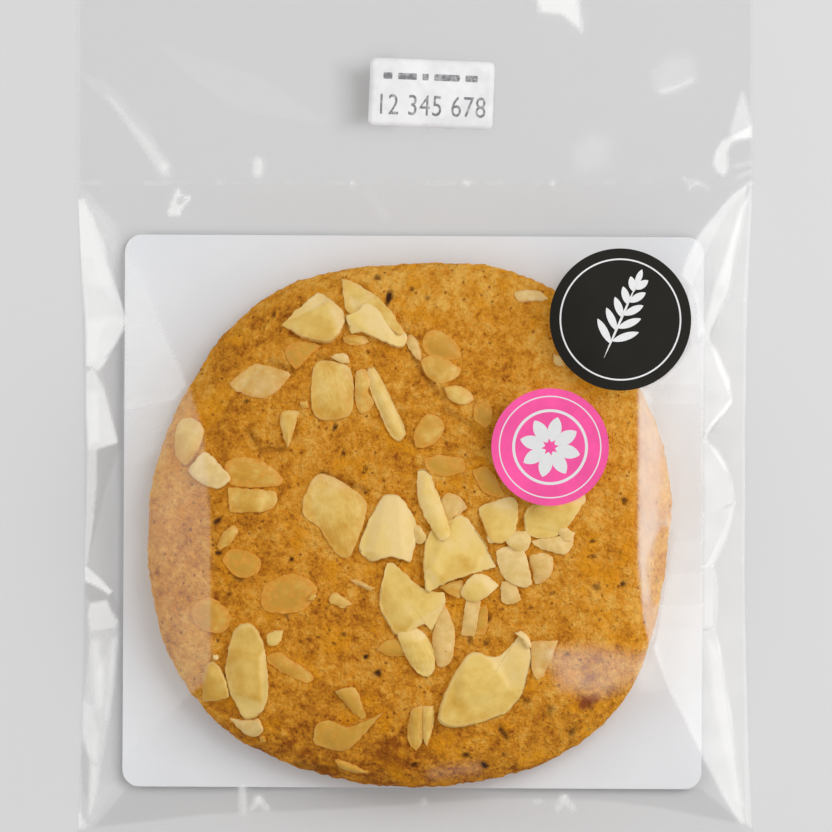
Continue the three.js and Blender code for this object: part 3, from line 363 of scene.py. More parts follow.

# Parts of the film with painted highlight and painted shade. Where the crumpled film catches the lights it is
# painted white, partly its own haze. Where it shows shadows and dark reflections it darkens what lies below.
# How much of each, how soft their edges are and their corners. They add up where they overlap, and one below
# 0 clears a window in the others.
Facet = namedtuple("Facet", "cloud shade soft corners")
FACETS = (
    Facet(0.84, 0, 0.5, (
        (-59.6, 35.8), (-58.6, 35.6), (-57.3, 33.1), (-56.1, 30.6), (-55, 27.6), (-54.2, 24.1),
        (-52.9, 20.2), (-51.9, 17.3), (-51.2, 14.2), (-51.5, 12.6), (-52.9, 10.1), (-54.3, 8.1),
        (-54.9, 6.4), (-56.1, 5.3), (-57.2, 6), (-58.2, 6.2), (-58.2, 12.6), (-58.6, 17.9),
        (-59.1, 24.1), (-59.5, 31.2),
    )),
    Facet(0.2, 0, 1.6, (
        (-59.3, 34.9), (-57.9, 33.1), (-56.1, 28.5), (-53.6, 21.1), (-55.2, 20.7), (-56.8, 25.7),
        (-58.6, 25.8), (-59.3, 31.2),
    )),
    Facet(-0.13, 0, 1.4, (
        (-58.2, 20.5), (-55.2, 20), (-52.7, 17.3), (-51.9, 15.2), (-55.8, 15), (-58.1, 14.7),
    )),
    Facet(0.12, 0, 1, ((-58.1, 14), (-54.7, 14), (-56.1, 10.4), (-56.6, 6.9), (-57.9, 6.9))),
    Facet(0.26, 0, 1.8, (
        (-59.3, 37.3), (-58.1, 36.8), (-56.6, 35), (-54.5, 33.1), (-52.6, 30.3), (-51.7, 28.1),
        (-52.6, 24.6), (-53.6, 22.3), (-55, 27.6), (-56.1, 30.6), (-57.3, 33.1), (-58.6, 35.6),
    )),
    Facet(0, 0.42, 0.7, (
        (-51.5, 11.9), (-54.3, 7.8), (-55.6, 5.3), (-54.7, 2.8), (-53.6, -0.7), (-52.6, -6.9),
        (-52.4, -8.7), (-51.7, -8.7), (-51.5, 0.2),
    )),
    Facet(0.7, 0, 0.5, (
        (-58.2, 5.1), (-57, 5.8), (-55.9, 4.1), (-55, 1.9), (-54.3, -0.7), (-53.6, -3.4), (-52.7, -6.5),
        (-52.6, -7.4), (-56.3, -8.5), (-57.9, -8.7), (-58.2, -1.6),
    )),
    Facet(0.25, 0, 1.2, ((-58.1, 1.9), (-56.1, 1.6), (-55.9, -6.9), (-57.9, -8))),
    Facet(0.45, 0, 0.5, (
        (-57.9, -8.7), (-56.3, -8.5), (-56.3, -14), (-56.8, -20.2), (-57.3, -24.6), (-57.9, -28.1),
        (-58.6, -30.8), (-58.8, -28.1), (-58.2, -21.1), (-58.1, -14),
    )),
    Facet(0, 0.5, 0.5, (
        (-56.3, -8.5), (-52.6, -7.6), (-52.4, -8.7), (-54.3, -14), (-56.1, -21.1), (-57.7, -27.6),
        (-57.5, -24.6), (-56.8, -20.2), (-56.3, -14),
    )),
    Facet(0.8, 0, 0.35, (
        (-58.8, -29.2), (-57.9, -29.4), (-55.8, -31.3), (-53.6, -33.6), (-54, -34.2), (-55.8, -33.1),
        (-57.5, -32.2), (-58.8, -31.7),
    )),
    Facet(0, 0.4, 0.5, (
        (-58.6, -32), (-57.2, -32.6), (-55, -33.8), (-54.3, -35), (-57.2, -35.6), (-58.1, -35),
    )),
    Facet(0, 0.4, 0.5, (
        (-54.3, -34.7), (-53.6, -34), (-52, -36.6), (-52, -39.1), (-52.9, -38.6), (-53.8, -36.6),
    )),
    Facet(0.6, 0, 0.6, (
        (-57.5, -35.8), (-54.5, -35.2), (-53.6, -37.3), (-52.4, -38.9), (-52.7, -40), (-55, -40.4),
        (-57.5, -40.7), (-57.9, -37.9),
    )),
    Facet(0.26, 0, 0.7, (
        (-57.5, -40.7), (-55, -40.4), (-52.4, -40), (-52.6, -43.2), (-53.3, -50.8), (-54, -56.8),
        (-55, -61.8), (-56.1, -68), (-57.5, -74.5), (-57.9, -71.5), (-57.5, -65.3), (-58.2, -60.9),
        (-59.3, -59.1), (-59.3, -55.6), (-58.4, -51.2), (-57.9, -45.8),
    )),
    Facet(0.16, 0, 1.2, (
        (-53.6, -42.3), (-52.6, -42.3), (-53.3, -46.7), (-54.7, -51.5), (-55, -57.3), (-56.5, -65.3),
        (-57.3, -73.3), (-56.8, -63.5), (-55.9, -52.9), (-56.3, -48), (-55, -45),
    )),
    Facet(0.3, 0, 1.3, (
        (-57.2, -42.3), (-55.9, -42.3), (-55, -48), (-55.4, -53.8), (-56.6, -55), (-57.2, -49.4),
    )),
    Facet(0.34, 0, 1.2, (
        (-58.8, -52.9), (-57, -54), (-56.1, -59.1), (-56.6, -63.9), (-58.1, -61.8), (-58.9, -57.9),
    )),
    Facet(0.3, 0, 1.2, ((-57.5, -64.4), (-55.9, -65), (-56.3, -70.6), (-57.5, -73.8))),
    Facet(0.25, 0, 0.9, (
        (-53.5, -41.6), (-52.6, -41.6), (-53.1, -49.4), (-54.3, -56.5), (-55, -56.5), (-54.2, -49.4),
    )),
    Facet(0, 0.4, 0.6, (
        (-58.8, -60.4), (-57.5, -63), (-57.3, -68.8), (-57.9, -71.5), (-58.8, -68.8), (-59.1, -63.9),
    )),
    Facet(0.4, 0, 0.4, ((-59.8, -72.7), (-59.3, -72.7), (-57.9, -75.4), (-59.6, -75.8))),
    Facet(0.1, 0, 0.5, ((-55.6, -68), (-52.4, -67.6), (-54.7, -70.6), (-57, -74.5))),
    # Painted reflection of the lights on the film's left slope, over the card and the cookie's left edge.
    Facet(0.11, 0, 0.6, (
        (-51.7, 26.7), (-50.3, 25.7), (-48.8, 23.2), (-46.9, 19.1), (-44.2, 12), (-41.9, 7.3),
        (-39.5, 1.9), (-37.3, -5.1), (-35.9, -21.1), (-35.8, -45), (-37, -49.4), (-44.1, -55.9),
        (-51.7, -63.5),
    )),
    Facet(0.24, 0, 0.8, (
        (-51.2, 26.7), (-50.3, 25.7), (-48.8, 23.2), (-46.9, 19.1), (-44.2, 12), (-41.9, 7.3),
        (-40.2, 2.8), (-42.3, 0.2), (-51.2, -1.6),
    )),
    Facet(0.14, 0, 3, ((-51.2, -0.7), (-41.6, 1.1), (-45.1, -8.7), (-51.2, -12.2))),
    Facet(0.42, 0, 0.7, (
        (59.5, 39.1), (58.6, 37.2), (57.2, 35.9), (55.9, 34.2), (54.3, 31.7), (52.6, 28.5),
        (51.2, 25.8), (49.9, 23.2), (48.8, 20.4), (47.6, 21.1), (46.9, 22.1), (47.4, 23.9), (48.3, 26),
        (49.4, 28.3), (50.8, 30.3), (52.6, 32.4), (54.3, 34.5), (56.6, 37),
    )),
    Facet(0.31, 0, 0.7, (
        (58.6, 37.2), (58.8, 36.1), (57.5, 34), (56.6, 31.2), (55.2, 26.7), (54, 23.2), (52.7, 19.6),
        (51.9, 16.1), (50.8, 12.6), (49.9, 10.8), (49.9, 16.1), (48.8, 20.4), (49.9, 23.2),
        (51.2, 25.8), (52.6, 28.5), (54.3, 31.7), (55.9, 34.2), (57.2, 35.9),
    )),
    Facet(0.58, 0, 0.7, (
        (58.9, 36.1), (58.2, 33.5), (57.3, 29.9), (56.6, 26.7), (55.9, 23.2), (55.2, 19.6), (54.3, 17),
        (53.3, 14.7), (52.4, 12.6), (52, 10.4), (51.2, 10.4), (50.8, 12.6), (51.9, 16.1), (52.7, 19.6),
        (54, 23.2), (55.2, 26.7), (56.6, 31.2), (57.5, 34),
    )),
    Facet(0.12, 0, 1.2, ((58.4, 35.2), (57.3, 30.3), (55.2, 20.5), (53.8, 20.5), (55.6, 26.7))),
    Facet(0.5, 0, 0.9, (
        (50.8, 12.6), (51.2, 10.4), (52, 10.4), (53.3, 8.7), (54.3, 6.4), (55.6, 3.7), (55.9, 0.7),
        (55.2, -1.2), (53.3, -3.4), (51.3, -5.5), (50.8, -5.5),
    )),
    Facet(0.26, 0, 0.9, (
        (48.3, 20.7), (48.8, 20.4), (49.9, 17.9), (50.8, 13.5), (50.8, 9.9), (48.7, 9.9), (48, 16.1),
    )),
    Facet(0.33, 0, 0.8, ((40.2, 2.7), (43.7, 4.1), (46.4, 6.4), (48.7, 9.9), (50.8, 9.9), (50.8, 2.7))),
    Facet(0.5, 0, 0.6, (
        (55.9, 0.7), (56.1, -0.2), (54.7, -2.1), (52.9, -4.2), (51.9, -6), (51.5, -7.4), (50.8, -7.4),
        (50.8, -6.2), (52.2, -4.1), (54.2, -1.8),
    )),
    Facet(0.5, 0, 0.9, (
        (50.8, -7.4), (51.5, -7.1), (53.3, -8.7), (54.7, -10.8), (55.8, -13.5), (56.3, -16.1),
        (56.5, -18.1), (54.3, -18.9), (50.8, -20.2),
    )),
    Facet(0.58, 0, 0.7, (
        (56.5, -18.1), (55.9, -21.1), (54.9, -24.6), (53.6, -27.3), (52.6, -29.2), (51.3, -29.2),
        (52.6, -26.7), (54, -23.9), (55.2, -20.7), (55.6, -18.8),
    )),
    Facet(0.46, 0, 0.9, (
        (50.8, -20.2), (54.3, -18.9), (55.6, -18.8), (55.2, -20.7), (54, -23.9), (52.6, -26.7),
        (51.3, -29.2), (50.8, -29.2),
    )),
    Facet(0.5, 0, 0.9, (
        (50.8, -29.2), (52.6, -29.2), (53.1, -30.8), (53.5, -33.5), (53.3, -36.1), (52.9, -40.2),
        (50.8, -40.2),
    )),
    Facet(0.42, 0, 0.7, (
        (42.7, -40.5), (41.9, -43.2), (43, -46.7), (44.8, -51.2), (46.5, -54.2), (48.7, -58.8),
        (50.8, -63), (52.6, -66.2), (54.3, -69.7), (56.1, -72.7), (57.7, -74.9), (58.4, -74.7),
        (58.2, -72.7), (57.7, -69.7), (57, -65.3), (56.3, -59.6), (55.8, -55), (55, -51.2),
        (54.3, -46.7), (53.8, -43.2), (52.9, -40.2), (50.8, -40.5),
    )),
    Facet(0.12, 0, 1.6, (
        (51.9, -42.3), (54, -44.1), (55.2, -52), (56.5, -60.9), (57.9, -71.5), (56.8, -70.6),
        (54.3, -60), (52.2, -49.4),
    )),
    # Painted reflection of the lights on the film's right slope, over the cookie's right edge and the card.
    Facet(0.28, 0, 0.45, (
        (39.3, 2.3), (40.7, 2.3), (40.7, 0.2), (42.3, -3.4), (43.5, -6.9), (44.6, -11.3), (45.1, -15.8),
        (45.1, -20.2), (44.8, -24.6), (44.2, -29), (43.5, -33.5), (42.8, -37.3), (42.5, -40.5),
        (41.9, -42.3), (41.1, -42.3), (40, -37.9), (39.3, -28.1),
    )),
    Facet(0.13, 0, 1.6, (
        (39.3, 2.3), (41.2, 1.6), (42.8, -5.1), (43.2, -14), (42.7, -21.1), (41.8, -28.1),
        (41.1, -35.2), (40, -35.2), (39.3, -28.1),
    )),
    Facet(-0.15, 0, 1, (
        (43.4, -21.9), (41.9, -24.6), (40.7, -27.2), (40.5, -30.5), (41.8, -36), (43.5, -35.5), (45, -28.5),
        (45.5, -22.8),
    )),
    Facet(-0.05, 0, 1.2, ((42.1, -17.5), (43.4, -15.9), (45.5, -14.9), (45.7, -20.5), (42.6, -20.9))),
    Facet(-0.08, 0, 0.8, ((40.6, -0.2), (41.8, -0.4), (43.6, -5.6), (42.6, -5.4))),
    Facet(0.26, 0, 0.6, ((40.7, 2.7), (50.8, 2.7), (50.8, -0.7), (41.2, -0.7), (40.7, 0.2))),
    Facet(0.2, 0, 0.6, (
        (41.2, -0.7), (50.8, -0.7), (50.8, -24.6), (44.8, -24.6), (45.1, -20.2), (45.1, -15.8),
        (44.6, -11.3), (43.5, -6.9), (42.3, -3.4),
    )),
    Facet(0.25, 0, 0.6, ((44.8, -24.6), (50.8, -24.6), (50.8, -30.3), (44.1, -30.3))),
    Facet(0.31, 0, 0.6, ((44.1, -30.3), (50.8, -30.3), (50.8, -35.9), (43.2, -35.9))),
    Facet(0.37, 0, 0.6, ((43.2, -35.9), (50.8, -35.9), (50.8, -40.5), (42.7, -40.5))),
    Facet(0.16, 0, 2, (
        (41.2, -42.3), (42.3, -43.2), (44.1, -50.1), (41.6, -51.2), (38.8, -50.4), (39.8, -45),
    )),
    Facet(0.3, 0, 0.4, (
        (59.6, 38.4), (59.6, -75.8), (58.6, -74.7), (57.7, -69.7), (56.3, -59.6), (55, -51.2),
        (52.9, -40.2), (53.5, -33.5), (52.6, -29.2), (54.9, -24.6), (56.5, -18.1), (55.8, -13.5),
        (51.5, -7.1), (55.9, 0.2), (52, 10.4), (54.3, 17), (56.6, 26.7), (58.9, 36.1),
    )),
    Facet(0.7, 0, 0.4, (
        (-42.1, 37.7), (-41.6, 37.5), (-41.1, 36.3), (-39.6, 36.3), (-39.8, 35.4), (-40.9, 34.2),
        (-41.4, 32.7), (-43.5, 32.7), (-43.5, 33.8), (-43, 35.2),
    )),
    Facet(-0.6, 0, 0.4, ((-41.9, 35.8), (-41.4, 36.3), (-40.4, 35.6), (-41.2, 34.7), (-42.1, 34.7))),
    Facet(0.16, 0, 4, ((23, -44.1), (31, -43.2), (39.8, -45), (41.6, -48), (32.7, -51.5), (25.7, -50.4))),
    # Painted shadow of the cookie and card on the film's band below the card.
    Facet(0, 0.6, 0.7, (
        (58.4, -74.9), (43.4, -71.7), (32.7, -70.3), (15, -69.9), (-13.3, -71.9), (-37.2, -72.9),
        (-56.8, -75.4), (-50.8, -68.3), (50.4, -68.3),
    )),
    Facet(0.8, 0, 0.9, (
        (21.4, 72), (28.7, 72), (29.2, 68.8), (29.6, 65.1), (28.3, 66.4), (26, 68.3), (22.1, 68.8),
    )),
    # Painted shadow of the date label, deepest at its left.
    Facet(0, 0.75, 4.5, ((-13.4, 58.8), (-4.6, 60.5), (-4.6, 48.6), (-12.9, 48.6))),
    Facet(0, 0.7, 3, ((-10.8, 57.9), (-4.6, 59.6), (-4.6, 49.2), (-10.6, 49.4))),
    Facet(0, 0.2, 2.5, ((-7.2, 60.6), (13.2, 59.8), (13.2, 48.2), (-7.6, 49))),
    Facet(0.16, 0, 3, ((48.7, 61.2), (49.9, 56.8), (45.1, 54.2), (42.5, 55), (41.9, 58.2), (45.5, 61.1))),
    Facet(0.3, 0, 0.8, ((42.8, 55), (43.7, 54.2), (46.2, 55), (49.4, 56.6), (49, 57.2), (45.8, 55.8))),
    Facet(0.16, 0, 3.5, ((34.5, 46.2), (33.8, 41.8), (29.2, 40.5), (28.1, 44.4), (31, 47.1))),
    Facet(0.35, 0, 0.9, (
        (57.9, 55), (58.6, 53.3), (59.6, 48.8), (59.6, 46.7), (57.7, 46.2), (55.6, 46.7), (56.3, 50.1),
    )),
    Facet(0.55, 0, 0.7, (
        (59.5, 48.7), (59.6, 46.7), (57.7, 46.4), (56.1, 45.7), (55.2, 44.1), (55.4, 40.9),
        (54.7, 39.8), (53.5, 40.5), (52.7, 42.1), (53.3, 44.4), (54.3, 46), (56.1, 46.9), (58.2, 48),
    )),
    Facet(0.26, 0, 1, (
        (-54.9, 54.3), (-53.6, 53.8), (-49.6, 49), (-46.5, 45.8), (-43.5, 41.8), (-44.4, 40.4),
        (-45.7, 41.2), (-48.1, 44.8), (-51.5, 49.7),
    )),
    Facet(0.08, 0, 0.9, (
        (-59.3, 58.6), (-54, 56.1), (-46.9, 48.3), (-43.7, 42.1), (-44.1, 40.2), (-45.7, 41.6),
        (-52.2, 51.2), (-57.9, 56.1),
    )),
    Facet(0.06, 0, 1.1, ((-46.9, 63.9), (-27.4, 57.7), (-14.7, 48.7), (-31, 51.3), (-38.1, 55.8))),
)

# The most that overlapping painted shades add up to.
MOST_PAINTED_SHADE = 2

# Creases in the film: their ends, half width, height and painted highlight along them.
Crease = namedtuple("Crease", "x0 y0 x1 y1 width height cloud")
CREASES = (
    Crease(-59.5, -60, -59.3, -75.2, 0.35, 0.1, 0.2),
    Crease(59.6, 38.4, 58.4, 17.9, 0.3, 0, 0.07),
    Crease(58.4, 17.9, 58.2, -28.1, 0.3, 0, 0.07),
    Crease(58.2, -28.1, 58.8, -75.9, 0.3, 0, 0.07),
    Crease(3.4, -65.4, 10.6, -64.4, 1.2, 0, 0.07),
    Crease(-30.4, -68, -30.3, -72.6, 0.6, 0.25, 0.75),
    Crease(-27.6, -70.1, -28.7, -71.9, 0.6, 0.2, 0.7),
    Crease(-27.6, -70.1, -26.2, -71.9, 0.6, 0.2, 0.7),
    Crease(1.6, -70.4, 1.6, -71, 0.5, 0.15, 0.35),
    Crease(21.1, -70.4, 22.1, -70.6, 0.45, 0.15, 0.4),
    Crease(26.2, -69.9, 25.1, -71.9, 0.6, 0.2, 0.7),
    Crease(26.2, -69.9, 27.8, -71.9, 0.6, 0.2, 0.7),
    Crease(56.6, 41.6, 59.3, 42.1, 0.3, 0.1, 0.3),
    Crease(57, 39.6, 59.3, 40.5, 0.3, 0.1, 0.3),
    Crease(-44.4, 41.2, -44.1, 40.5, 1, 0.2, 0.3),
    Crease(-27.8, 42.3, -27.8, 40.5, 0.8, 0.2, 0.65),
    Crease(-7.8, 36.3, -5.3, 32.6, 0.9, 0.1, 0.08),
    Crease(-11.2, 38.6, -11, 38.4, 0.4, 0.1, 0.45),
    Crease(9, 38.8, 9.2, 38.4, 0.4, 0.1, 0.45),
    Crease(24.2, 38.6, 24.4, 38.4, 0.4, 0.1, 0.5),
    Crease(47.6, 39.5, 48.7, 38.1, 0.3, 0.1, 0.3),
    Crease(49, 39.1, 50.1, 38.1, 0.3, 0.1, 0.3),
    Crease(50.1, 38.8, 51.9, 37.5, 0.3, 0.1, 0.35),
    Crease(48.3, 37.3, 49.4, 38.4, 0.3, 0.1, 0.3),
    Crease(-59.6, 74.5, -59.6, 36.5, 0.25, 0, 0.14),
    Crease(59.6, 74.5, 59.6, 38.4, 0.25, 0, 0.12),
    Crease(-38.1, 72.4, -15, 76.3, 1.2, 0.2, 0.08),
    Crease(4.4, 75.4, 25.7, 77.7, 0.9, 0.25, 0.12),
)


def clamp(value, low=0.0, high=1.0):
    """A value kept between two limits."""
    return max(low, min(high, value))


def smoothstep(value, low, high):
    """0 at low and 1 at high, which may lie below it, with a smooth run between."""
    share = clamp((value - low) / (high - low))
    return share * share * (3 - 2 * share)


def smooth_min(a, b, reach):
    """The smaller of two heights, with the crease between them rounded over."""
    share = clamp(0.5 + (b - a) / (2 * reach))
    return b + (a - b) * share - reach * share * (1 - share)


def along_line(line, place):
    """How far across the bag a line of turning points, from far to near, lies at a place along it."""
    if place >= line[0][0]:
        return line[0][1]
    for (far, start), (near, end) in zip(line, line[1:]):
        if place >= near:
            return start + (end - start) * (far - place) / (far - near)
    return line[-1][1]


def eased(value, ease):
    """A value above 0 that starts gently, and 0 below."""
    return value * value / (value + ease) if value > 0 else 0.0


def distance_to(x, y, x0, y0, x1, y1):
    """How far a point lies from a straight stretch between two ends."""
    run = Vector((x1 - x0, y1 - y0))
    share = clamp(((x - x0) * run.x + (y - y0) * run.y) / run.length_squared)
    return math.hypot(x - x0 - run.x * share, y - y0 - run.y * share)


def inside_share(facet, x, y):
    """How far inside a facet a place lies: 1 inside, 0 outside and a soft step at its edges."""
    across, along = zip(*facet.corners)
    reach = facet.soft
    if not (min(across) - reach < x < max(across) + reach and min(along) - reach < y < max(along) + reach):
        return 0.0
    near, within = math.inf, False
    for (x0, y0), (x1, y1) in zip(facet.corners, facet.corners[1:] + facet.corners[:1]):
        near = min(near, distance_to(x, y, x0, y0, x1, y1))
        if (y0 > y) != (y1 > y) and x < x0 + (x1 - x0) * (y - y0) / (y1 - y0):
            within = not within
    return smoothstep(near if within else -near, -reach / 2, reach / 2)


def wave(x, y, z, cell, seed=0.0):
    """Smooth noise from about -1 to 1 with features of one cell's size."""
    return noise.noise(Vector((x / cell + seed, y / cell - seed, z / cell + 2 * seed)))


class CookieSizes(bpy.types.PropertyGroup):
    """The cookie's driving sizes."""

    middle_x: FloatProperty(
        name="Middle X", description="The cookie's middle across the bag", default=-0.7 * MM, unit="LENGTH"
    )
    middle_y: FloatProperty(
        name="Middle Y", description="The cookie's middle along the bag", default=-22.1 * MM, unit="LENGTH"
    )
    radius: FloatProperty(
        name="Radius", description="Mean radius in plan", default=47.1 * MM, unit="LENGTH"
    )
    thick: FloatProperty(
        name="Thickness", description="Height of the dough", default=10.6 * MM, unit="LENGTH"
    )
    side: FloatProperty(
        name="Side", description="Height of the upright edge", default=3.4 * MM, unit="LENGTH"
    )
    foot: FloatProperty(
        name="Foot", description="Share of the radius at the underside", default=0.96, min=0.8, max=1
    )
    shoulder: FloatProperty(
        name="Shoulder", description="The higher, the flatter the top", default=4.0, min=2, max=9
    )
    grain: FloatProperty(
        name="Grain", description="Height of the crumb", default=0.3 * MM, unit="LENGTH"
    )
    cells: IntProperty(
        name="Cells", description="Mesh cells across the dough", default=300, min=40, max=310
    )
    dough_light: FloatVectorProperty(
        name="Light dough", description="Pale sandy crumb", subtype="COLOR", default=(0.79, 0.435, 0.08)
    )
    dough_mid: FloatVectorProperty(
        name="Dough", description="Most of the crumb", subtype="COLOR", default=(0.64, 0.262, 0.0155)
    )
    dough_dark: FloatVectorProperty(
        name="Dark dough", description="Browned crumb", subtype="COLOR", default=(0.30, 0.082, 0.004)
    )
    dough_zest: FloatVectorProperty(
        name="Zest", description="Orange patches", subtype="COLOR", default=(0.745, 0.30, 0.003)
    )
    almond_pale: FloatVectorProperty(
        name="Pale almond", description="Broken almond", subtype="COLOR", default=(0.81, 0.61, 0.27)
    )
    almond_mid: FloatVectorProperty(
        name="Almond", description="Most of the almond", subtype="COLOR", default=(0.76, 0.545, 0.15)
    )
    almond_gold: FloatVectorProperty(
        name="Golden almond", description="Baked almond", subtype="COLOR", default=(0.60, 0.335, 0.038)
    )


class BagSizes(bpy.types.PropertyGroup):
    """The bag's, card's and labels' driving sizes."""

    half_width: FloatProperty(
        name="Half width", description="Half the bag's width", default=59.9 * MM, unit="LENGTH"
    )
    half_length: FloatProperty(
        name="Half length", description="Half the bag's length", default=79.9 * MM, unit="LENGTH"
    )
    seal_y: FloatProperty(
        name="Heat seal", description="Where the seal crosses the bag", default=38.6 * MM, unit="LENGTH"
    )
    weld_y: FloatProperty(
        name="Bottom weld", description="Where the weld crosses the bag", default=-77.3 * MM, unit="LENGTH"
    )
    crown: FloatProperty(
        name="Crown", description="Height of the film over the cookie", default=14.0 * MM, unit="LENGTH"
    )
    film_tint: FloatVectorProperty(
        name="Film tint", description="What the film lets pass", subtype="COLOR",
        default=(0.965, 0.965, 0.963),
    )
    # The colour that the film passes where its painted shade is deepest.
    film_painted_shade: FloatVectorProperty(
        name="Film shade", description="What passes where it shades most", subtype="COLOR",
        default=(0.595, 0.585, 0.577),
    )
    # The white of the film's painted highlight and haze.
    film_white: FloatVectorProperty(
        name="Film white", description="Crumpled film", subtype="COLOR", default=(0.92, 0.917, 0.91)
    )
    card_colour: FloatVectorProperty(
        name="Card", description="White food card", subtype="COLOR", default=(0.757, 0.772, 0.80)
    )
    black: FloatVectorProperty(
        name="Black label", description="Round label", subtype="COLOR", default=(0.0115, 0.0105, 0.008)
    )
    pink: FloatVectorProperty(
        name="Pink label", description="Small round label", subtype="COLOR", default=(0.82, 0.092, 0.32)
    )
    date_paper: FloatVectorProperty(
        name="Date label", description="White label", subtype="COLOR", default=(0.745, 0.745, 0.755)
    )
    print_white: FloatVectorProperty(
        name="Print", description="Print on the round labels", subtype="COLOR", default=(0.72, 0.72, 0.72)
    )
    digits: FloatVectorProperty(
        name="Digits", description="Stamp on the date label", subtype="COLOR", default=(0.19, 0.19, 0.20)
    )


class StageSettings(bpy.types.PropertyGroup):
    """The table, the lights and the camera."""

    table: FloatVectorProperty(
        name="Table", description="Pale table", subtype="COLOR", default=(0.66, 0.66, 0.668)
    )
    camera_height: FloatProperty(
        name="Camera height", description="Above the table", default=1.5, unit="LENGTH"
    )
    view_width: FloatProperty(
        name="View width", description="Width that the picture shows", default=147.26 * MM, unit="LENGTH"
    )
    sky: FloatProperty(
        name="Fill light", description="Strength of the light from all round", default=0.47, min=0
    )


class Dough:
    """The cookie's dough, in millimetres from its own middle."""

    def __init__(self, sizes):
        self.radius = sizes.radius / MM
        self.thick = sizes.thick / MM
        self.side = sizes.side / MM
        self.shoulder = sizes.shoulder
        self.middle = Vector((sizes.middle_x / MM, sizes.middle_y / MM))

    def reach(self, angle):
        """The outline's radius at an angle."""
        return self.radius + sum(
            height * math.cos(count * (angle - math.radians(peak))) for count, height, peak in BULGES
        )

    def top(self, x, y):
        """The height of the dough's smooth top above the table."""
        return DOUGH_BASE + self.rise(min(math.hypot(x, y) / self.reach(math.atan2(y, x)), 1.0))

    def rise(self, share):
        """The dough's own height at a share of its radius."""
        return self.side + (self.thick - self.side) * math.sqrt(max(0.0, 1 - share**self.shoulder))

    def lean(self, x, y, span):
        """The turn that lays a piece flat on the dough at a place."""
        rise = (self.top(x + span, y) - self.top(x - span, y)) / (2 * span)
        climb = (self.top(x, y + span) - self.top(x, y - span)) / (2 * span)
        return Vector((0, 0, 1)).rotation_difference(Vector((-rise, -climb, 1)).normalized())


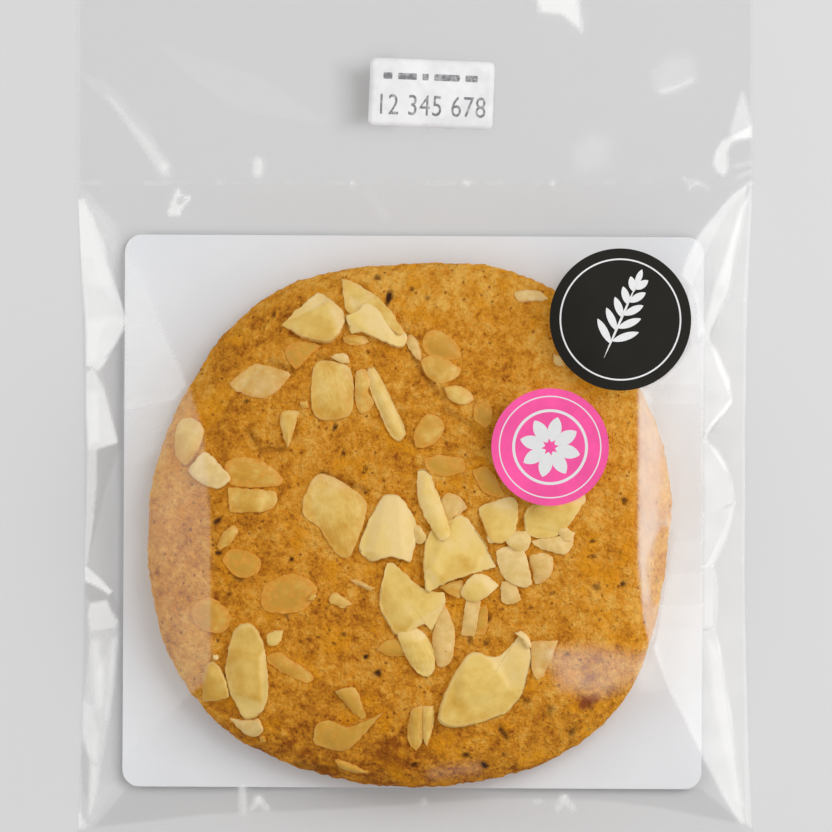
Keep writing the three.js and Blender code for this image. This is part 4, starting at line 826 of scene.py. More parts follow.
class Film:
    """The bag's upper film, in millimetres: a tent with crumpled sides over the cookie, and a loose end."""

    # The four sides of the crown, which is the part that lies over the cookie.
    CROWN_LEFT = -35.7
    CROWN_RIGHT = 39.5
    CROWN_NEAR = -63.3
    CROWN_FAR = 19.6
    # How high the film's joined edges lie, how far the crown sags, and how far the filled part draws the
    # sides in.
    EDGE_HEIGHT = 0.2
    SAG = 0.5
    SIDE_PULL = 1.4
    # How softly one stretch of film turns into the next, and the share of that at the crisp fold lines.
    ROUNDING = 0.7
    CRISP = 0.3
    # The least width of the crumpled strip along a side fold, and how steeply it climbs to its fold line.
    FOLD_GAP = 0.3
    FOLD_CLIMB = 0.35
    # The air between film and dough, the height of the open end's arch, and how far beyond a label the film
    # stays flat.
    AIR = 0.9
    ARCH = 2.2
    FLAT_REACH = 3
    # A crease's and a crimped seam's reach: a crease's in its own widths.
    CREASE_REACH = 2.5
    CRIMP_REACH = 0.8
    # Which way from a round label its painted shadow lies, and how soon that fades.
    SHADE_WAY = Vector((-0.94, -0.34))
    SHADE_FADE = 1.6

    def __init__(self, bag, dough, labels):
        self.half_width = bag.half_width / MM
        self.half_length = bag.half_length / MM
        self.seal = bag.seal_y / MM
        self.weld = bag.weld_y / MM
        self.crown = bag.crown / MM
        self.dough = dough
        self.labels = [(label, *self.plane_under(label.x, label.y, label.radius)) for label in labels]

    def plane_under(self, x, y, radius, count=12):
        """The height and slopes of the flat place that a stiff label presses into the film."""
        turns = [2 * math.pi * i / count for i in range(count)]
        ring = [(math.cos(turn), math.sin(turn)) for turn in turns]
        reach = radius * 0.8
        heights = [self.free_height(x + reach * across, y + reach * along) for across, along in ring]
        middle = sum(heights) / len(heights)
        slope_x = 2 * sum(h * across for h, (across, _) in zip(heights, ring)) / (len(ring) * reach)
        slope_y = 2 * sum(h * along for h, (_, along) in zip(heights, ring)) / (len(ring) * reach)
        return middle, slope_x, slope_y

    def edge(self, y):
        """How far the side folds lie from the bag's middle line: the filled part draws them in."""
        if not self.weld < y < self.seal:
            return self.half_width
        share = (y - self.weld) / (self.seal - self.weld)
        return self.half_width - self.SIDE_PULL * math.sin(math.pi * share) ** 0.7

    def sides(self, y):
        """The two crumpled fold lines' places across the bag."""
        edge = self.edge(y)
        left = max(along_line(LEFT_FOLD, y), -edge + self.FOLD_GAP)
        right = min(along_line(RIGHT_FOLD, y), edge - self.FOLD_GAP)
        return left, right

    def tent(self, x, y):
        """The sealed part's film before anything presses on it."""
        left, right = self.sides(y)
        edge = self.edge(y)
        far = clamp((y - self.CROWN_FAR) / (self.seal - self.CROWN_FAR), -1, 1)
        near = clamp((self.CROWN_NEAR - y) / (self.CROWN_NEAR - self.weld), -1, 1)
        rim = self.crown - self.SAG
        across = (x - (self.CROWN_LEFT + self.CROWN_RIGHT) / 2) / (self.CROWN_RIGHT - self.CROWN_LEFT)
        along = (y - (self.CROWN_NEAR + self.CROWN_FAR) / 2) / (self.CROWN_FAR - self.CROWN_NEAR)
        height = self.crown - self.SAG * 4 * max(across * across, along * along)
        for share in (far, near):
            end = rim + (rim - self.EDGE_HEIGHT) * ((1 - max(share, 0)) ** 0.85 - 1 - min(share, 0))
            height = smooth_min(height, end, self.ROUNDING)
        for crown_x, fold, way in ((self.CROWN_LEFT, left, -1), (self.CROWN_RIGHT, right, 1)):
            fold_height = self.EDGE_HEIGHT + self.FOLD_CLIMB * (edge - abs(fold))
            beyond = (x - fold) * way
            if beyond > 0:
                side = fold_height + (self.EDGE_HEIGHT - fold_height) * beyond / (edge - abs(fold))
            else:
                side = fold_height + (rim - fold_height) * -beyond / abs(fold - crown_x)
            height = smooth_min(height, side, self.ROUNDING * (self.CRISP if beyond > -2 else 1))
        return max(height, self.EDGE_HEIGHT)

    def open_end(self, x, y):
        """The loose upper film above the heat seal."""
        up = (y - self.seal) / (self.half_length - self.seal)
        arch = (1 - (x / self.half_width) ** 2) * smoothstep(up, 0, 0.35)
        sway = 1 + 0.3 * wave(x, y, 0, 22, 3.1)
        ripple = 0.12 * wave(x, y, 0, 9, 7.7) * smoothstep(up, 0, 0.1)
        return self.EDGE_HEIGHT + self.ARCH * arch * sway + ripple

    def free_height(self, x, y):
        """The film's height without creases or labels."""
        if y >= self.seal:
            return self.open_end(x, y)
        if y <= self.weld:
            return self.EDGE_HEIGHT
        height = self.tent(x, y)
        over = Vector((x, y)) - self.dough.middle
        if over.length < self.dough.reach(math.atan2(over.y, over.x)) * 0.985:
            height = max(height, self.dough.top(over.x, over.y) + self.AIR)
        return height

    def height(self, x, y):
        """The film's height with its creases, flattened under the labels."""
        height = self.free_height(x, y)
        loose = smoothstep(abs(x), self.half_width - 1.5, self.half_width - 9)
        height += loose * (0.10 * wave(x, y, 0, 13, 1.3) + 0.05 * wave(x, y, 0, 4, 5.1))
        for crease in CREASES:
            if crease.height and min(crease.x0, crease.x1) - 3 < x < max(crease.x0, crease.x1) + 3:
                away = distance_to(x, y, *crease[:4]) / crease.width
                if away < self.CREASE_REACH:
                    height += crease.height * math.exp(-away * away)
        for seam in (self.seal, self.weld):
            crimp = max(0.0, 1 - abs(y - seam) / self.CRIMP_REACH)
            height += 0.12 * crimp * (0.5 + wave(x, y, 0, 1.6, 9.2))
        for label, middle, slope_x, slope_y in self.labels:
            away = math.hypot(x - label.x, y - label.y)
            reach = label.radius + self.FLAT_REACH
            if away < reach:
                flat = middle + slope_x * (x - label.x) + slope_y * (y - label.y)
                flat = smooth_min(flat, self.crown - 0.2, 1.5)
                height += (flat - height) * (1 - smoothstep(away, label.radius, reach))
        return max(height, self.EDGE_HEIGHT)

    def finish(self, x, y):
        """How much painted highlight whitens the film at a place, and how much painted shade it lays on what
        lies below.
        """
        cloud = shade = 0.0
        for facet in FACETS:
            share = inside_share(facet, x, y)
            cloud += facet.cloud * share
            shade += facet.shade * share
        # Painted shadow of each round label, at its near left side.
        for label, *_ in self.labels:
            away = Vector((x - label.x, y - label.y))
            if away.length < label.radius + 6 * self.SHADE_FADE:
                beyond = max(away.length - label.radius, 0)
                side = smoothstep(away.normalized().dot(self.SHADE_WAY), 0.2, 0.8)
                shade += label.shade * side * math.exp(-beyond / self.SHADE_FADE)
        cloud *= 1 + 0.16 * wave(x, y, 0, 4.5, 2.2) + 0.16 * wave(x, y, 0, 12, 4.2)
        for crease in CREASES:
            if min(crease.x0, crease.x1) - 4 < x < max(crease.x0, crease.x1) + 4:
                away = distance_to(x, y, *crease[:4]) / crease.width
                if away < self.CREASE_REACH:
                    cloud += crease.cloud * math.exp(-away * away)
        # Painted glints along the heat seal.
        seam = max(0.0, 1 - abs(y - self.seal) / 0.5)
        cloud += seam * max(0.0, 0.04 + 0.3 * wave(x, y, 0, 1.8, 3.3))
        return clamp(cloud), clamp(shade, 0, MOST_PAINTED_SHADE)


class Value:
    """A shader socket that takes part in ordinary arithmetic."""

    def __init__(self, graph, socket):
        self.graph = graph
        self.socket = socket

    def _math(self, operation, first, second):
        return self.graph.node("ShaderNodeMath", {"operation": operation}, {0: first, 1: second})

    def __add__(self, other):
        return self._math("ADD", self, other)

    def __sub__(self, other):
        return self._math("SUBTRACT", self, other)

    def __rsub__(self, other):
        return self._math("SUBTRACT", other, self)

    def __mul__(self, other):
        return self._math("MULTIPLY", self, other)

    __radd__ = __add__
    __rmul__ = __mul__

    def at_least(self, other):
        return self._math("MAXIMUM", self, other)

    def at_most(self, other):
        return self._math("MINIMUM", self, other)

    def below(self, other):
        return self._math("LESS_THAN", self, other)


class Graph:
    """A material's nodes, made by one method."""

    def __init__(self, name):
        self.material = bpy.data.materials.new(name)
        self.material.use_nodes = True
        self.tree = self.material.node_tree
        self.tree.nodes.clear()

    def node(self, kind, settings=None, sockets=None, output=0):
        """A node of a type, with its settings and ramp stops first, then its sockets' values or links."""
        made = self.tree.nodes.new(kind)
        for key, value in (settings or {}).items():
            if key == "stops":
                self.set_stops(made.color_ramp, value)
            else:
                setattr(made, key, value)
        for key, value in (sockets or {}).items():
            socket = made.inputs[key]
            if isinstance(value, Value):
                self.tree.links.new(value.socket, socket)
            elif socket.type == "RGBA":
                socket.default_value = (*value, 1.0)
            else:
                socket.default_value = value
        return Value(self, made.outputs[output]) if len(made.outputs) else None

    @staticmethod
    def set_stops(ramp, stops):
        """Gives a colour ramp its places and colours."""
        while len(ramp.elements) < len(stops):
            ramp.elements.new(1.0)
        for element, (place, colour) in zip(ramp.elements, stops):
            element.position = place
            element.color = (*colour, 1.0)

    def place(self):
        """Object coordinates, in metres."""
        return self.node("ShaderNodeTexCoord", output="Object")

    def axis(self, name):
        """How far along one of the frame's axes a place lies, in metres."""
        return self.node("ShaderNodeSeparateXYZ", None, {0: self.place()}, name)

    def attribute(self, name):
        """A number that the piece's points carry."""
        return self.node("ShaderNodeAttribute", {"attribute_name": name}, output="Fac")

    def noise(self, size, detail, rough):
        """Noise from 0 to 1 with features of a size in millimetres."""
        sockets = {"Vector": self.place(), "Scale": 1 / (size * MM), "Detail": detail, "Roughness": rough}
        return self.node("ShaderNodeTexNoise", None, sockets)

    def spots(self, size, reach, chance, seed=0.0):
        """Ragged spots in the middle of some cells of a size in millimetres, a share of a cell wide."""
        move = {"Vector": self.place(), "Location": (seed, -seed, seed)}
        shifted = self.node("ShaderNodeMapping", None, move)
        sockets = {"Vector": shifted, "Scale": 1 / (size * MM), "Randomness": 1.0}
        away = self.node("ShaderNodeTexVoronoi", None, sockets, "Distance")
        cell = Value(self, away.socket.node.outputs["Color"])
        chosen = self.node("ShaderNodeSeparateColor", None, {0: cell}).below(chance)
        ragged = (self.noise(size * 0.2, 2, 0.5) - 0.5) * reach * 1.6
        return self.fade(away + ragged, reach, reach * 0.4) * chosen

    def fade(self, value, low, high):
        """0 at low and 1 at high, which may lie below it, with a smooth run between."""
        sockets = {"Value": value, "From Min": low, "From Max": high}
        return self.node("ShaderNodeMapRange", {"interpolation_type": "SMOOTHSTEP"}, sockets)

    def mix(self, factor, first, second):
        """A mix of two colours."""
        return self.node("ShaderNodeMix", {"data_type": "RGBA"}, {0: factor, 6: first, 7: second}, 2)

    def mix_shaders(self, factor, first, second):
        """A mix of two shaders."""
        return self.node("ShaderNodeMixShader", None, {0: factor, 1: first, 2: second})

    def bump(self, height, strength, distance, normal=None):
        """Relief of a height in millimetres, over other relief or none."""
        sockets = {"Height": height, "Strength": strength, "Distance": distance * MM}
        if normal:
            sockets["Normal"] = normal
        return self.node("ShaderNodeBump", None, sockets)

    def principled(self, **sockets):
        """The surface's own shader, with its sockets' names written with underscores."""
        named = {name.replace("_", " "): value for name, value in sockets.items()}
        return self.node("ShaderNodeBsdfPrincipled", None, named)

    def finish(self, shader):
        """The material, with its shader linked to its output."""
        self.node("ShaderNodeOutputMaterial", None, {"Surface": shader})
        return self.material


def between(first, second, share):
    """A colour on the way from one to another."""
    return tuple(start + (end - start) * share for start, end in zip(first, second))


def scaled(colour, share):
    """A colour made lighter or darker."""
    return tuple(min(1.0, part * share) for part in colour)


# Small marks on the dough and the almonds.
# BROWN_PIT and DARK_SPECK make small dark spots in the crumb; those that stand for pits are painted shade.
BROWN_PIT = (0.2, 0.05, 0.006)
DARK_SPECK = (0.11, 0.027, 0.005)
BLACK_SPECK = (0.05, 0.014, 0.005)
RED_PEEL = (0.23, 0.045, 0.013)
DARK_CHALK = (0.66, 0.46, 0.165)
PALE_CHALK = (0.80, 0.60, 0.295)
SOAKED_ALMOND = (0.54, 0.29, 0.026)
ALMOND_SKIN = (0.34, 0.15, 0.03)
WORN_PRINT = (0.55, 0.55, 0.55)


def dough_finish(sizes):
    """Sandy golden crumb: browned lumps and dark specks of peel, with painted light and shade by the crumb's
    height, pale on its grains and dark in its pits and crevices.
    """
    graph = Graph("baked_dough")
    light, mid, dark = sizes.dough_light, sizes.dough_mid, sizes.dough_dark
    across, along = graph.axis("X"), graph.axis("Y")
    fine = graph.noise(0.5, 2, 0.6)
    # Painted light and shade, as the light falls: lighter toward the far end and the right, darker toward the
    # near end and the left, and paler again beyond the crown's left and right sides, as painted reflection of
    # the film's haze over the dough.
    near = graph.fade(along, -46 * MM, -68 * MM)
    far = graph.fade(along, 14 * MM, 24 * MM)
    right = graph.fade(across, 0, 40 * MM) * 0.1 + graph.fade(across, 38.5 * MM, 41 * MM) * 0.1
    left = graph.fade(across, -34.5 * MM, -37 * MM) * 0.22 - graph.fade(across, -20 * MM, -34 * MM) * 0.12
    # The crumb's height adds painted light and shade: lighter on its grains, darker in its crevices.
    tone = graph.attribute("relief") * 0.65 + 0.17 + right + left + far * 0.17 - near * 0.33
    for size, share in ((11, 0.7), (4, 0.8), (2.1, 0.85), (0.95, 0.75)):
        tone = tone + (graph.noise(size, 2, 0.5) - 0.5) * share
    tone = tone + (fine - 0.5) * 0.8
    brown, golden = between(dark, mid, 0.55), between(mid, light, 0.5)
    stops = ((0.0, dark), (0.24, brown), (0.46, mid), (0.70, golden), (0.95, light))
    base = graph.node("ShaderNodeValToRGB", {"stops": stops}, {"Fac": tone})
    zest = graph.fade(graph.noise(6.5, 3, 0.6), 0.52, 0.68)
    base = graph.mix(zest * 0.55, base, sizes.dough_zest)
    specks = graph.spots(4.6, 0.11, 0.6).at_least(graph.spots(2.3, 0.15, 0.7, 0.31) * 0.7)
    strewn = graph.fade(graph.noise(8, 2, 0.5), 0.4, 0.6) * 0.7 + 0.15
    base = graph.mix(graph.spots(1.7, 0.22, 0.6, 0.57) * 0.7, base, BROWN_PIT)
    base = graph.mix(specks * strewn, base, DARK_SPECK)
    # The speck attribute is partly painted shade, in pits and cracks.
    base = graph.mix(graph.attribute("speck"), base, BLACK_SPECK)
    base = graph.mix(graph.attribute("peel") * 0.9, base, RED_PEEL)
    bumps = graph.bump(fine, 0.7, 0.5)
    bumps = graph.bump(graph.noise(1.3, 3, 0.6), 0.85, 1.1, bumps)
    rough = 0.74 + 0.2 * fine
    matt = graph.principled(Base_Color=base, Roughness=rough, Specular_IOR_Level=0.17, Normal=bumps)
    return graph.finish(matt)


def almond_finish(sizes):
    """Waxy chopped almond, from chalky cream to deep gold, with fibres along it."""
    graph = Graph("chopped_almond")
    pale, mid, gold = sizes.almond_pale, sizes.almond_mid, sizes.almond_gold
    grain, rim = graph.attribute("grain"), graph.attribute("rim")
    chalky = (grain * -1.0).at_least(0.0)
    soak = graph.attribute("soak") * (1.0 - chalky * 0.5)
    parts = {"X": graph.attribute("along") * 0.45, "Y": graph.attribute("across") * 3.2}
    drawn_out = graph.node("ShaderNodeCombineXYZ", None, parts)
    fibres = graph.node("ShaderNodeTexNoise", None, {"Vector": drawn_out, "Scale": 1.0, "Detail": 3.0})
    fibres = (fibres - 0.5) * (0.2 + grain.at_least(0.0) * 0.5)
    cloudy = graph.noise(2.6, 3, 0.5)
    tone = graph.attribute("tone") + (cloudy - 0.5) * 0.8 + (graph.noise(7, 2, 0.5) - 0.5) * 0.7 + fibres
    stops = ((0.0, pale), (0.42, mid), (0.9, gold), (1.0, scaled(gold, 0.9)))
    base = graph.node("ShaderNodeValToRGB", {"stops": stops}, {"Fac": tone})
    chips = graph.mix(graph.fade(graph.noise(1.5, 3, 0.6), 0.3, 0.7), DARK_CHALK, PALE_CHALK)
    base = graph.mix(chalky * 0.65, base, chips)
    # A pale rim along the face's edge: partly the paler broken edge, partly painted highlight.
    base = graph.mix(graph.fade(rim, 0.88, 1.0) * 0.35 * (1.0 - soak), base, pale)
    # A piece that lies deep has taken up fat, and crumbs of dough cover its rim and parts of its face.
    base = graph.mix(soak * graph.fade(cloudy, 0.35, 0.6) * 0.45, base, SOAKED_ALMOND)
    light_crumb = between(sizes.dough_mid, sizes.dough_light, 0.5)
    crumb = graph.mix(graph.fade(graph.noise(0.9, 2, 0.5), 0.3, 0.7), sizes.dough_mid, light_crumb)
    sunk = graph.fade(rim + (graph.noise(1.3, 2, 0.5) - 0.5) * 0.8, 0.58, 1.0) * 0.85 + 0.05
    sunk = sunk.at_least(graph.fade(graph.noise(1.7, 3, 0.6), 0.5, 0.66) * 0.75)
    base = graph.mix(sunk * soak, base, crumb)
    dusting = graph.fade(graph.noise(0.9, 3, 0.6), 0.62, 0.5) * 0.22
    base = graph.mix(soak * dusting, base, sizes.dough_mid)
    base = graph.mix(graph.spots(2.8, 0.1, 0.1, 0.23) * 0.5, base, ALMOND_SKIN)
    bumps = graph.bump(graph.noise(0.5, 3, 0.6) * 0.4 + fibres, 0.25, 0.25)
    rough = 0.38 + 0.2 * cloudy
    waxy = graph.principled(Base_Color=base, Roughness=rough, Specular_IOR_Level=0.4, Normal=bumps)
    return graph.finish(waxy)


def film_finish(bag):
    """Clear cellophane: see-through, with gloss, white with painted highlight where it is creased and
    crumpled.
    """
    graph = Graph("clear_film")
    gloss = graph.node("ShaderNodeFresnel", None, {"IOR": 1.45})
    cover = (graph.attribute("cloud") + ((gloss - 0.04) * 0.35).at_least(0.0)).at_most(1.0)
    film = graph.principled(Base_Color=bag.film_white, Roughness=0.35)
    # What shows through the film, darkened where it carries painted shade.
    clear = graph.node("ShaderNodeBsdfTransparent", None, {"Color": bag.film_tint})
    shaded = graph.node("ShaderNodeBsdfTransparent", None, {"Color": bag.film_painted_shade})
    through = graph.mix_shaders(graph.attribute("shade") * (1 / MOST_PAINTED_SHADE), clear, shaded)
    return graph.finish(graph.mix_shaders(cover, through, film))


def card_finish(bag):
    """Smooth white food card with a faint mottle."""
    graph = Graph("food_card")
    mottle = graph.noise(9, 4, 0.6)
    colour = bag.card_colour
    base = graph.mix(graph.fade(mottle, 0.3, 0.7) * 0.3, colour, scaled(colour, 0.93))
    bumps = graph.bump(graph.noise(0.5, 4, 0.6), 0.08, 0.1)
    return graph.finish(graph.principled(Base_Color=base, Roughness=0.5 + 0.1 * mottle, Normal=bumps))


def label_finish(name, colour, rough):
    """Coated label paper with a slight mottle."""
    graph = Graph(name)
    mottle = graph.noise(5, 4, 0.6)
    base = graph.mix(graph.fade(mottle, 0.35, 0.7), colour, scaled(colour, 1.15))
    bumps = graph.bump(graph.noise(0.6, 3, 0.5), 0.05, 0.1)
    rough = rough + 0.08 * mottle
    paper = graph.principled(Base_Color=base, Roughness=rough, Specular_IOR_Level=0.09, Normal=bumps)
    return graph.finish(paper)


def print_finish(name, colour, worn):
    """Print on a label, a little uneven."""
    graph = Graph(name)
    patchy = graph.fade(graph.noise(0.7, 4, 0.6), 0.42, 0.62)
    base = graph.mix(patchy, colour, between(colour, WORN_PRINT, worn))
    return graph.finish(graph.principled(Base_Color=base, Roughness=0.45 + 0.1 * patchy))


def table_finish(stage):
    """A pale matt table."""
    graph = Graph("pale_table")
    base = graph.mix(graph.noise(60, 2, 0.5) * 0.2, stage.table, scaled(stage.table, 0.97))
    return graph.finish(graph.principled(Base_Color=base, Roughness=0.75))


def settings():
    """The user's settings: the cookie's, the bag's and the stage's."""
    scene = bpy.context.scene
    return scene.cookie_sizes, scene.bag_sizes, scene.cookie_stage


def point_layer(bm, name):
    """A number for each point of a mesh, which its material reads."""
    return bm.verts.layers.float.get(name) or bm.verts.layers.float.new(name)


def finished(name, bm, material, nodes, smooth=True, shadow=True):
    """Makes a piece of a mesh in millimetres, hangs it on the root body and hides the parts that it stands
    for.
    """
    bmesh.ops.scale(bm, vec=(MM, MM, MM), verts=bm.verts)
    mesh = bpy.data.meshes.new(name)
    for face in bm.faces:
        face.smooth = smooth
    bm.to_mesh(mesh)
    bm.free()
    mesh.materials.append(material)
    piece = bpy.data.objects.new(name, mesh)
    piece.visible_shadow = shadow
    bpy.context.scene.collection.objects.link(piece)
    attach(piece, "root")
    if nodes:
        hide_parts(*nodes)


def add_to(bm, part):
    """Moves one mesh into another."""
    mesh = bpy.data.meshes.new("part")
    part.to_mesh(mesh)
    part.free()
    bm.from_mesh(mesh)
    bpy.data.meshes.remove(mesh)


def disc_place(u, v):
    """The angle and share of the radius of a place on a square grid that is bent into a disc."""
    ring = max(abs(u), abs(v))
    if not ring:
        return 0.0, 0.0
    if abs(u) >= abs(v):
        return math.pi / 4 * v / u + (0 if u > 0 else math.pi), ring
    return math.pi / 2 - math.pi / 4 * u / v + (0 if v > 0 else math.pi), ring


def spot_share(speck, x, y):
    """How far inside an oval spot a place lies: 1 at its middle and 0 outside it."""
    turn = math.radians(speck.turn)
    across, along = x - speck.x, y - speck.y
    length = (across * math.cos(turn) + along * math.sin(turn)) / (speck.long / 2)
    width = (along * math.cos(turn) - across * math.sin(turn)) / (speck.wide / 2)
    return 1 - smoothstep(math.hypot(length, width) + 0.5 * wave(x, y, 0, 0.8, 6.6), 0.35, 1.25)


def lumps(x, y, z):
    """How far the dough's soft lumps stand out."""
    return 0.34 * wave(x, y, z, 7.5, 1.7) + 0.26 * wave(x, y, z, 3.4, 4.3)


class DoughRelief:
    """The crumb's grains, pits and cracks."""

    COARSE_GRAIN = 1.7
    FINE_GRAIN = 0.95
    PIT_DEPTH = 0.45
    # How dark the painted shade in a crack is.
    CRACK_SHADE = 0.28

    def __init__(self, grain):
        self.grain = grain

    @staticmethod
    def grains(x, y, z, size, shift):
        """Domed grains of a size: 0.5 at their middles, and less toward the crevices between them."""
        distances, _ = noise.voronoi(Vector((x / size, y / size, z / size + shift)))
        return 0.5 - distances[0]

    def crumb(self, x, y, z):
        """The crumb's own height."""
        coarse = self.grains(x, y, z, self.COARSE_GRAIN, 3)
        fine = self.grains(x, y, z, self.FINE_GRAIN, -5)
        waves = 0.7 * wave(x, y, z, 1.5, 8.1) + 0.5 * wave(x, y, z, 0.75, 2.9)
        return self.grain * (0.55 * coarse + 0.35 * fine + waves)

    def sunken(self, x, y):
        """How deep pits and cracks go at a place, how dark the specks and the peel are, and the painted shade
        in pits and cracks.
        """
        depth = dark = red = 0.0
        for speck in SPECKS:
            if abs(x - speck.x) < 3 and abs(y - speck.y) < 3:
                share = spot_share(speck, x, y) * speck.dark
                depth = max(depth, self.PIT_DEPTH * share)
                dark = max(dark, share)
        for speck in PEEL:
            if abs(x - speck.x) < 4 and abs(y - speck.y) < 4:
                red = max(red, spot_share(speck, x, y) * speck.dark)
        for crack in CRACKS:
            if min(crack.x0, crack.x1) - 2 < x < max(crack.x0, crack.x1) + 2:
                away = distance_to(x, y, *crack[:4]) / crack.width + 0.5 * wave(x, y, 0, 1.4, 2.6)
                if away < 2:
                    share = math.exp(-away * away)
                    depth = max(depth, crack.depth * share)
                    dark = max(dark, self.CRACK_SHADE * share)
        return depth, dark, red


class COOKIE_OT_dough(bpy.types.Operator):
    """Bakes the dough: a rounded square cookie with a soft shoulder and a crumbly, pitted surface"""

    bl_idname = "cookie.dough"
    bl_label = "Dough"

    # The share of the grid's half width that makes the top. The rest goes down the side.
    TOP_SHARE = 0.87

    def section(self, dough, foot, ring):
        """The share of the radius and the height above the card along the cookie's section."""
        if ring <= self.TOP_SHARE:
            turn = math.pi / 2 * (ring / self.TOP_SHARE) ** 2
            share = math.sin(turn) ** (2 / dough.shoulder)
            return share, dough.rise(share)
        down = (ring - self.TOP_SHARE) / (1 - self.TOP_SHARE)
        return 1 - (1 - foot) * down**2, dough.side * (1 - down)

    def execute(self, context):
        sizes, _, _ = settings()
        dough = Dough(sizes)
        relief = DoughRelief(sizes.grain / MM)
        bm = bmesh.new()
        bmesh.ops.create_grid(bm, x_segments=sizes.cells, y_segments=sizes.cells, size=1)
        rim = [edge for edge in bm.edges if edge.is_boundary]
        bmesh.ops.edgeloop_fill(bm, edges=rim)
        layers = [point_layer(bm, name) for name in ("relief", "speck", "peel")]
        rings = {}
        for vert in bm.verts:
            angle, ring = disc_place(*vert.co.xy)
            share, height = self.section(dough, sizes.foot, ring)
            reach = dough.reach(angle) * share
            vert.co = (reach * math.cos(angle), reach * math.sin(angle), DOUGH_BASE + height)
            rings[vert] = ring
        bmesh.ops.recalc_face_normals(bm, faces=bm.faces)
        bm.normal_update()
        moves = []
        for vert in bm.verts:
            x, y, z = vert.co
            crumb = relief.crumb(x, y, z)
            depth, dark, red = relief.sunken(x, y) if rings[vert] < self.TOP_SHARE else (0, 0, 0)
            settle = smoothstep(z, DOUGH_BASE, DOUGH_BASE + 1)
            calm = 1 - 0.55 * smoothstep(rings[vert], 0.8, 0.94)
            moves.append(vert.normal * settle * (calm * lumps(x, y, z) + crumb - depth))
            # The crumb's height, which the dough's finish turns into painted light and shade.
            height_share = 0.5 + crumb / (4 * relief.grain)
            for layer, value in zip(layers, (height_share, dark, red)):
                vert[layer] = value
        for vert, move in zip(bm.verts, moves):
            vert.co += move
        bmesh.ops.translate(bm, vec=(*dough.middle, 0), verts=bm.verts)
        finished("cookie_dough", bm, dough_finish(sizes), ["cookie"])
        return {"FINISHED"}


# Up to the first turn an almond's outline curves through a corner, and from the second on it stays sharp
# there.
ROUND_TURN = math.radians(45)
SHARP_TURN = math.radians(100)


def smooth_ring(corners):
    """A closed line that curves through an outline's corners, and keeps those where it turns sharply."""
    knots = [Vector(corner) for corner in corners]
    bends = []
    for before, here, after in zip(knots[-1:] + knots, knots, knots[1:] + knots[:1]):
        turn = (here - before).angle(after - here)
        bends.append((after - before).normalized() * (1 - smoothstep(turn, ROUND_TURN, SHARP_TURN)))
    ring = []
    for start, end, bend, next_bend in zip(knots, knots[1:] + knots[:1], bends, bends[1:] + bends[:1]):
        handle = (end - start).length / 3
        ring += interpolate_bezier(start, start + bend * handle, end - next_bend * handle, end, 9)[:-1]
    return ring


def outline_points(corners, count, seed, rough):
    """Points spread evenly round an almond's outline, a little ragged except at its sharp corners."""
    ring = smooth_ring(corners)
    lengths = [(end - start).length for start, end in zip(ring, ring[1:] + ring[:1])]
    step = sum(lengths) / count
    points, index, passed = [], 0, 0.0
    for number in range(count):
        while passed + lengths[index] < number * step:
            passed += lengths[index]
            index += 1
        run = (ring[(index + 1) % len(ring)] - ring[index]).normalized()
        point = ring[index] + run * (number * step - passed)
        ahead = ring[(index + 5) % len(ring)] - ring[(index + 1) % len(ring)]
        behind = ring[index] - ring[index - 4]
        straight = clamp(1.4 * ahead.normalized().dot(behind.normalized()) - 0.4)
        nicks = rough * wave(*point, seed, 0.8, seed) + 0.13 * wave(*point, seed, 2.4, seed)
        points.append(point + Vector((run.y, -run.x)) * straight * nicks)
    return points


# A piece's mesh is a sphere whose levels run from 0 at its top over 1 at its widest to 2 underneath. Its
# face ends at the first level, and up to the second its points stay above the dough. Its underside closes
# over the last span.
FACE_LEVEL = 0.86
FACE_HELD = 0.93
UNDER_SPAN = 0.7


